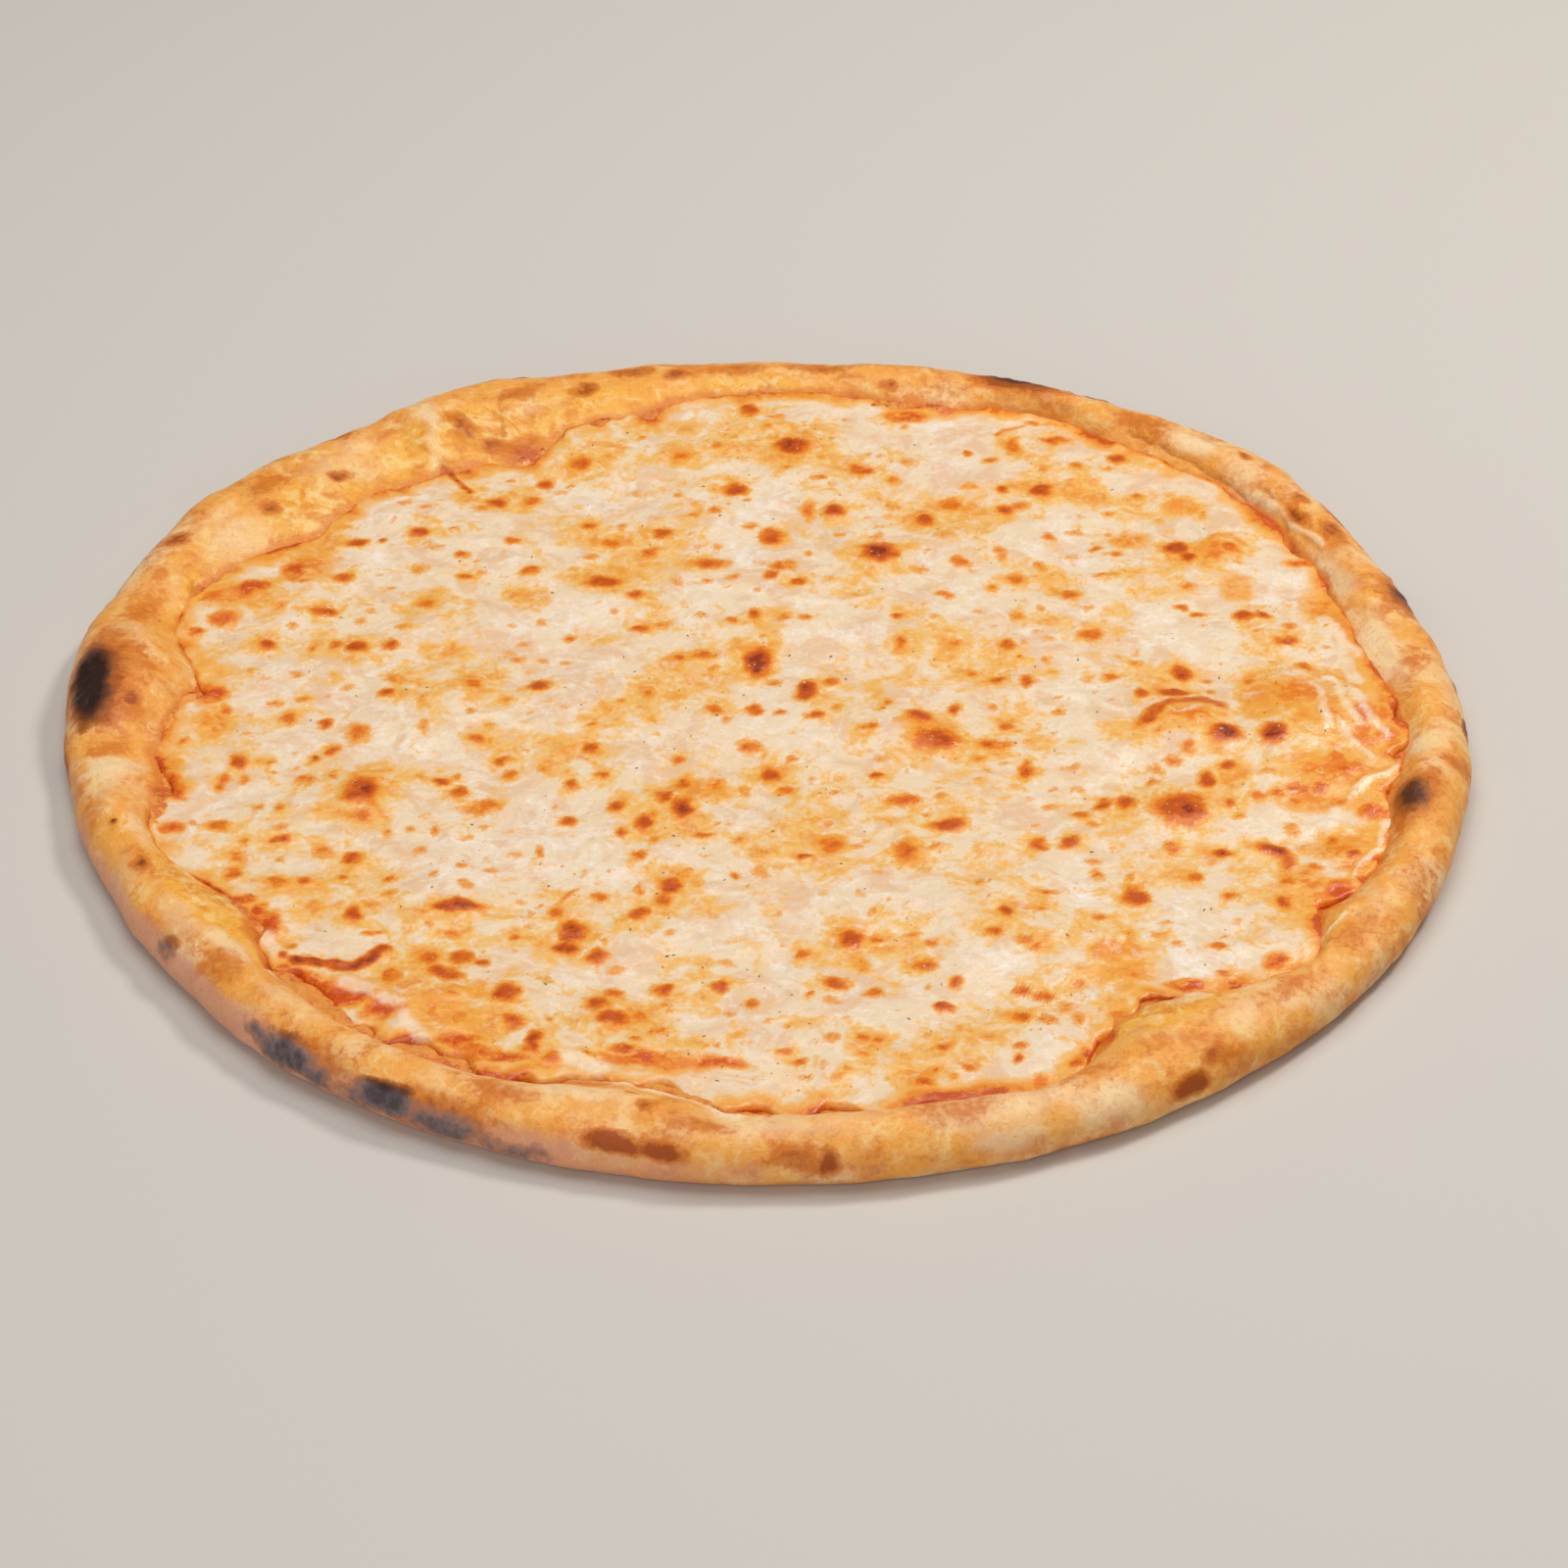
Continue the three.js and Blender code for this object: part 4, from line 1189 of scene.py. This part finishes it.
class PIZZA_OT_cheese(bpy.types.Operator):
    """Makes the melted cheese from its solid"""

    bl_idname = "pizza.cheese"
    bl_label = "Melted cheese"

    def execute(self, context):
        settings = context.scene.pizza.cheese
        tree = ray_tree(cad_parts["melted_cheese"].data)
        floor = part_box("melted_cheese")[0].z / MM
        solid_edge = edge_reach(tree, floor + CHEESE_EDGE_HEIGHT)
        ring = np.array([outward(d) * 140 for d in DIRECTIONS])
        wall = wall_reach(floor + CHEESE_WALL_HEIGHT)
        room = np.maximum(wall - solid_edge, 0)
        edge = solid_edge + room * (0.85 + 0.9 * wander(ring, 11, 4, 2))
        edge = edge + 0.8 + 1.1 * wander(ring, 4, 5, 3)
        edge = np.clip(edge, solid_edge - 1, wall + 1.6)
        for middle, spread, depth in SAUCE_SHOWS:
            edge -= depth * hump(DIRECTIONS, middle, spread)
        work, at, inside, direction = spread_disc(292, edge)
        heights = solid_heights(tree, at, all_round(direction, solid_edge) - 3.2)
        heights = smoothed(heights, at[:, 0], at[:, 1], 2.0, 165)
        thickness = 0.2 + 1.6 * np.interp(direction, DIRECTIONS, soft_step(wall - edge, -0.3, 2.2))
        near = np.clip(1 - inside / (thickness * 1.3), 0, 1)
        at[:, 2] = heights - thickness * (1 - np.sqrt(1 - near * near))
        lay_on(work, at)
        close_below(work, floor, 0.8)
        mesh = mesh_from(work, "cheese_layer")
        skin = Skin(mesh)
        skin.warp([(7, 1.0), (2.6, 0.85)], 7)
        top = soft_step(skin.out[:, 2], 0.0, 0.6)
        large = rows_of(BROWN_SPOTS)
        spots = large + small_spots(settings, large, 12)
        # The browning takes in the lines, one of which is painted shade in a fold's crease
        brown = np.maximum(flat_blots(skin, spots), flat_lines(skin, BROWN_LINES_AND_CREASE_SHADE)) * top
        halos = [
            (x, y, wide * 1.9 + 2, high * 1.9 + 2, strength * 0.65)
            for x, y, wide, high, strength, _ in large
        ]
        amber = flat_blots(skin, rows_of(AMBER_PATCHES) + halos)
        red = flat_blots(skin, rows_of(RED_PATCHES))
        brown *= 1 + 0.4 * wander(skin.at, 2.4, 15, 2)
        # Whiter strands, the first of which is a painted highlight along a fold
        white = flat_lines(skin, WHITE_STRANDS_AND_FOLD_HIGHLIGHT) * 0.6
        swell = wander(skin.at, 15, 8, 2) * settings.swell / MM
        ripple = wander(skin.at, 4.2, 9, 3) * settings.ripple / MM
        blister = np.clip(brown, 0, 0.7) - 0.6 * np.clip(brown - 0.7, 0, 1)
        inside = all_round(skin.direction, edge) - skin.reach
        away = np.clip(inside / 3, 0, 1)
        border = np.clip(0.65 + 1.1 * wander(skin.at, 13, 16, 2), 0.05, 1.2)
        border *= np.clip(1.1 - inside / 7, 0, 1.1)
        broken = np.clip(0.75 + 0.9 * wander(skin.at, 9, 18, 2), 0.15, 1)
        border = np.maximum(border, broken * np.clip(1.25 - inside / 1.8, 0, 1.1))
        ripple += 0.5 * np.clip(red, 0, 1) * wander(skin.at, 2.6, 17, 2)
        relief = (swell + ripple) * (0.35 + 0.65 * away) + blister * settings.blister / MM
        relief += 0.6 * white + flat_blots(skin, BUBBLES)
        skin.at[:, 2] += top * relief
        skin.keep(brown=brown, amber=amber, red=red, white=white, border=border)
        skin.store()
        piece = make_object("cheese_layer", mesh, cheese_material(settings))
        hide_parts("melted_cheese")
        return {"FINISHED"}


def sauce_material(settings):
    finish = Finish("Tomato sauce")
    at = finish.place()
    patchy = finish.grain(at, 6, 4, 0.6, 10)
    lumps = finish.grain(at, 2.0, 5, 0.65, 11)
    burnt = finish.grain(at, 3.5, 4, 0.6, 12) + (lumps - 0.5) * 0.5
    rows = [
        (settings.red, patchy + (lumps - 0.5) * 0.8, 0.47, 0.6, 0.85),
        # Painted highlight: a lighter colour where the lumps, which also make the bump, stand
        # highest
        (SAUCE_PAINTED_HIGHLIGHT, lumps, 0.56, 0.68, 0.6),
        (SAUCE_DARK, burnt, 0.55, 0.68, 0.8),
        (settings.burnt, burnt, 0.7, 0.82, 0.6),
    ]
    surface = finish.bumps(lumps, 0.8)
    return finish.close(
        Base_Color=finish.layers(settings.orange, rows),
        Roughness=0.32 + lumps * 0.2,
        Normal=surface,
        Subsurface_Weight=0.05,
        Subsurface_Radius=(1.0, 0.3, 0.15),
        Subsurface_Scale=0.002,
        Coat_Weight=0.15,
        Coat_Roughness=0.15,
    )


class PIZZA_OT_sauce(bpy.types.Operator):
    """Makes the tomato sauce from its solid"""

    bl_idname = "pizza.sauce"
    bl_label = "Tomato sauce"

    def execute(self, context):
        settings = context.scene.pizza.sauce
        tree = ray_tree(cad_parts["tomato_sauce"].data)
        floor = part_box("tomato_sauce")[0].z / MM
        solid_edge = edge_reach(tree, floor + SAUCE_EDGE_HEIGHT)
        edge = np.maximum(solid_edge, wall_reach(floor + SAUCE_WALL_HEIGHT) + 2.4)
        work, at, _, direction = spread_disc(190, edge)
        limit = all_round(direction, solid_edge) - 0.3
        reach = np.maximum(np.hypot(at[:, 0], at[:, 1]), 1e-6)
        heights = solid_heights(tree, at, limit, floor + 1)
        bare = soft_step(reach - limit, -4.5, -1.5)
        heights += np.clip(reach - limit, 0, 2) * 0.4
        lumps = wander(at, 3.4, 13, 3) * settings.lump / MM
        at[:, 2] = heights + bare * (0.25 + lumps)
        lay_on(work, at)
        close_below(work, floor, 3.0)
        mesh = mesh_from(work, "sauce_layer")
        piece = make_object("sauce_layer", mesh, sauce_material(settings))
        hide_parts("tomato_sauce")
        return {"FINISHED"}


# Larger flecks that the photograph shows: x, y
SEEN_FLECKS = [
    (-42.3, 0), (-33.3, 21), (-30.5, 14.5), (-27.5, -14), (-29, -24.5), (15, 21.3), (1.6, -48.3),
    (116.6, -2), (126, -7), (95.5, -76.5), (123.8, -27), (-15.5, -125.3), (-13.2, -126),
    (-20, -130), (-12, -132.5), (-8.5, -129.4), (-12.4, -119.4), (-8.8, -65.8), (21.5, -69.3),
    (28, -86.5), (-3.7, -97), (-20.6, -92.2), (-21.5, -95.5), (44.7, -136.7), (27.5, -86.2),
    (46.5, -109.2), (64, -105), (36.3, -115), (94, -76.7), (92.6, -96), (-28.6, -83.6),
    (-78, -75.8), (-46.7, -68),
]

# Places with clusters of small drops: x, y
SHINY_PLACES = [
    (-70, -91.5), (-62, -96), (-59.8, -92.5), (-55.5, -113), (-40, -70), (-43, -62.5),
    (-3.9, -107.3), (-1.5, -107.6), (16.5, -99.8), (31.5, -84), (57.5, -77.6), (19, -132.8),
    (58.5, -105.3), (59, -113), (36, -95.5), (92, -15), (90, -14), (37, -12), (40, -16), (-90, -33),
    (-88, -38), (-76, -59), (-13, -121), (5, -136), (1, -132), (-25, -127), (-10, -125), (104, -13),
    (115, -12), (8, 8), (-2, 21), (27, 68), (-16, -38), (31, -57), (92, -40), (6, 117), (68, 96),
    (-48, 108), (-86, 76), (-104, 41), (112, 38),
]


def resting_places(tree, places):
    """Each place with the height and the normal of the cheese there, but for places off it."""
    hits = [look_down(tree, x, y) for x, y in places]
    return [(Vector(at), Vector(normal)) for at, normal in hits if at is not None]


def loose_pieces(name, spots, shape, sizes, seed, sink):
    """One mesh of many small rounded bits, each turned its own way and resting on the cheese."""
    draw = random.Random(seed)
    work = bmesh.new()
    for place, normal in spots:
        size = sizes(draw)
        lie = normal.to_track_quat("Z", "Y").to_matrix().to_4x4()
        turn = Matrix.Rotation(draw.uniform(0, 2 * math.pi), 4, "Z")
        stretch = Matrix.Diagonal((size[0] / 2, size[1] / 2, size[2] / 2, 1))
        lift = Matrix.Translation((place + normal * (size[2] * (0.5 - sink))) * MM)
        bmesh.ops.create_icosphere(
            work, subdivisions=shape, radius=MM, matrix=lift @ lie @ turn @ stretch
        )
    return mesh_from(work, name)


class PIZZA_OT_sprinkle(bpy.types.Operator):
    """Scatters the herb flecks and the drops of oil on the cheese"""

    bl_idname = "pizza.sprinkle"
    bl_label = "Herb flecks and oil drops"

    def execute(self, context):
        settings = context.scene.pizza.sprinkle
        tree = ray_tree(bpy.data.objects["cheese_layer"].data)
        draw = random.Random(21)
        places = list(SEEN_FLECKS)
        for _ in range(settings.herbs):
            distance = 134 * math.sqrt(draw.random())
            places.append(tuple((outward(draw.uniform(0, 360)) * distance)[:2]))

        def fleck(rng):
            long = settings.herb_length / MM * rng.uniform(0.45, 1.35)
            return long, long * rng.uniform(0.3, 0.6), 0.28

        herbs = loose_pieces("herb_flecks", resting_places(tree, places), 1, fleck, 22, 0.3)
        finish = Finish("Dried herbs")
        tone = finish.grain(finish.place(), 6, 1, 0.5, 13)
        paint = finish.over(settings.herb, PALE_HERB, finish.rise(tone, 0.42, 0.6))
        make_object("herb_flecks", herbs, finish.close(Base_Color=paint, Roughness=0.75))

        places = []
        for _ in range(settings.drops):
            x, y = draw.choice(SHINY_PLACES)
            places.append((x + draw.gauss(0, 3.2), y + draw.gauss(0, 2.8)))

        def drop(rng):
            wide = settings.drop_width / MM * rng.uniform(0.4, 1.1)
            return wide, wide * rng.uniform(0.8, 1), wide * 0.55

        oil = loose_pieces("oil_droplets", resting_places(tree, places), 2, drop, 23, 0.25)
        finish = Finish("Oil drops")
        shine = finish.close(
            Base_Color=settings.oil, Roughness=0.08, Coat_Weight=0.6, Coat_Roughness=0.03
        )
        make_object("oil_droplets", oil, shine)
        return {"FINISHED"}


def aim(thing, place, target):
    thing.location = place
    thing.rotation_euler = (Vector(target) - Vector(place)).to_track_quat("-Z", "Y").to_euler()


def soft_light(name, place, size, power, tint):
    lamp = bpy.data.lights.new(name, "AREA")
    lamp.shape = "DISK"
    lamp.size = size
    lamp.energy = power
    lamp.color = tint
    light = bpy.data.objects.new(name, lamp)
    bpy.context.scene.collection.objects.link(light)
    aim(light, place, (0, 0, 0))


class PIZZA_OT_studio(bpy.types.Operator):
    """Sets the floor, the soft lights and the camera"""

    bl_idname = "pizza.studio"
    bl_label = "Floor, lights and camera"

    def execute(self, context):
        settings = context.scene.pizza.studio
        scene = context.scene
        work = bmesh.new()
        bmesh.ops.create_grid(work, x_segments=1, y_segments=1, size=3)
        for vert in work.verts:
            vert.co.z = -0.1 * MM
        floor = bpy.data.objects.new("floor", mesh_from(work, "floor"))
        scene.collection.objects.link(floor)
        finish = Finish("Plain floor")
        floor.data.materials.append(finish.close(Base_Color=settings.floor, Roughness=0.7))

        soft_light("Key", (0.7, 0.5, 1.1), 0.3, settings.key, (1.0, 0.98, 0.95))
        soft_light("Top", (-0.1, 0.15, 1.3), 1.1, settings.top, (1.0, 1.0, 1.0))
        soft_light("Fill", (-0.35, -1.35, 0.75), 1.5, settings.fill, (0.97, 0.98, 1.0))
        world = scene.world or bpy.data.worlds.new("Air")
        scene.world = world
        world.use_nodes = True
        back = world.node_tree.nodes["Background"]
        back.inputs["Color"].default_value = (1.0, 0.99, 0.97, 1)
        back.inputs["Strength"].default_value = settings.air

        lens = bpy.data.cameras.new("Camera")
        lens.sensor_width = 36
        lens.lens = CAMERA_LENS
        lens.clip_start, lens.clip_end = 0.05, 20
        camera = bpy.data.objects.new("Camera", lens)
        scene.collection.objects.link(camera)
        tilt = math.radians(CAMERA_ELEVATION)
        back_off = Vector((0, -math.cos(tilt), math.sin(tilt))) * CAMERA_DISTANCE
        aim(camera, CAMERA_TARGET + back_off, CAMERA_TARGET)
        scene.camera = camera
        scene.view_settings.view_transform = "Standard"
        return {"FINISHED"}


class PIZZA_PT_panel(bpy.types.Panel):
    """Lists the pizza's pieces in the order in which they are made"""

    bl_label = "Margherita pizza"
    bl_idname = "PIZZA_PT_panel"
    bl_space_type = "VIEW_3D"
    bl_region_type = "UI"
    bl_category = "Pizza"

    def draw(self, context):
        settings = context.scene.pizza
        for maker, group in MAKERS:
            box = self.layout.box()
            box.operator(maker.bl_idname)
            sizes = getattr(settings, group)
            for name in sizes.bl_rna.properties.keys():
                if name not in ("rna_type", "name"):
                    box.prop(sizes, name)


MAKERS = [
    (PIZZA_OT_crust, "crust"),
    (PIZZA_OT_sauce, "sauce"),
    (PIZZA_OT_cheese, "cheese"),
    (PIZZA_OT_sprinkle, "sprinkle"),
    (PIZZA_OT_studio, "studio"),
]

CLASSES = [
    CrustSettings,
    CheeseSettings,
    SauceSettings,
    SprinkleSettings,
    StudioSettings,
    PizzaSettings,
    *[maker for maker, _ in MAKERS],
    PIZZA_PT_panel,
]


def register():
    for cls in CLASSES:
        bpy.utils.register_class(cls)
    bpy.types.Scene.pizza = PointerProperty(type=PizzaSettings)


def unregister():
    del bpy.types.Scene.pizza
    for cls in reversed(CLASSES):
        bpy.utils.unregister_class(cls)


def main():
    register()
    bpy.ops.pizza.crust()
    bpy.ops.pizza.sauce()
    bpy.ops.pizza.cheese()
    bpy.ops.pizza.sprinkle()
    bpy.ops.pizza.studio()


if __name__ == "__main__":
    main()
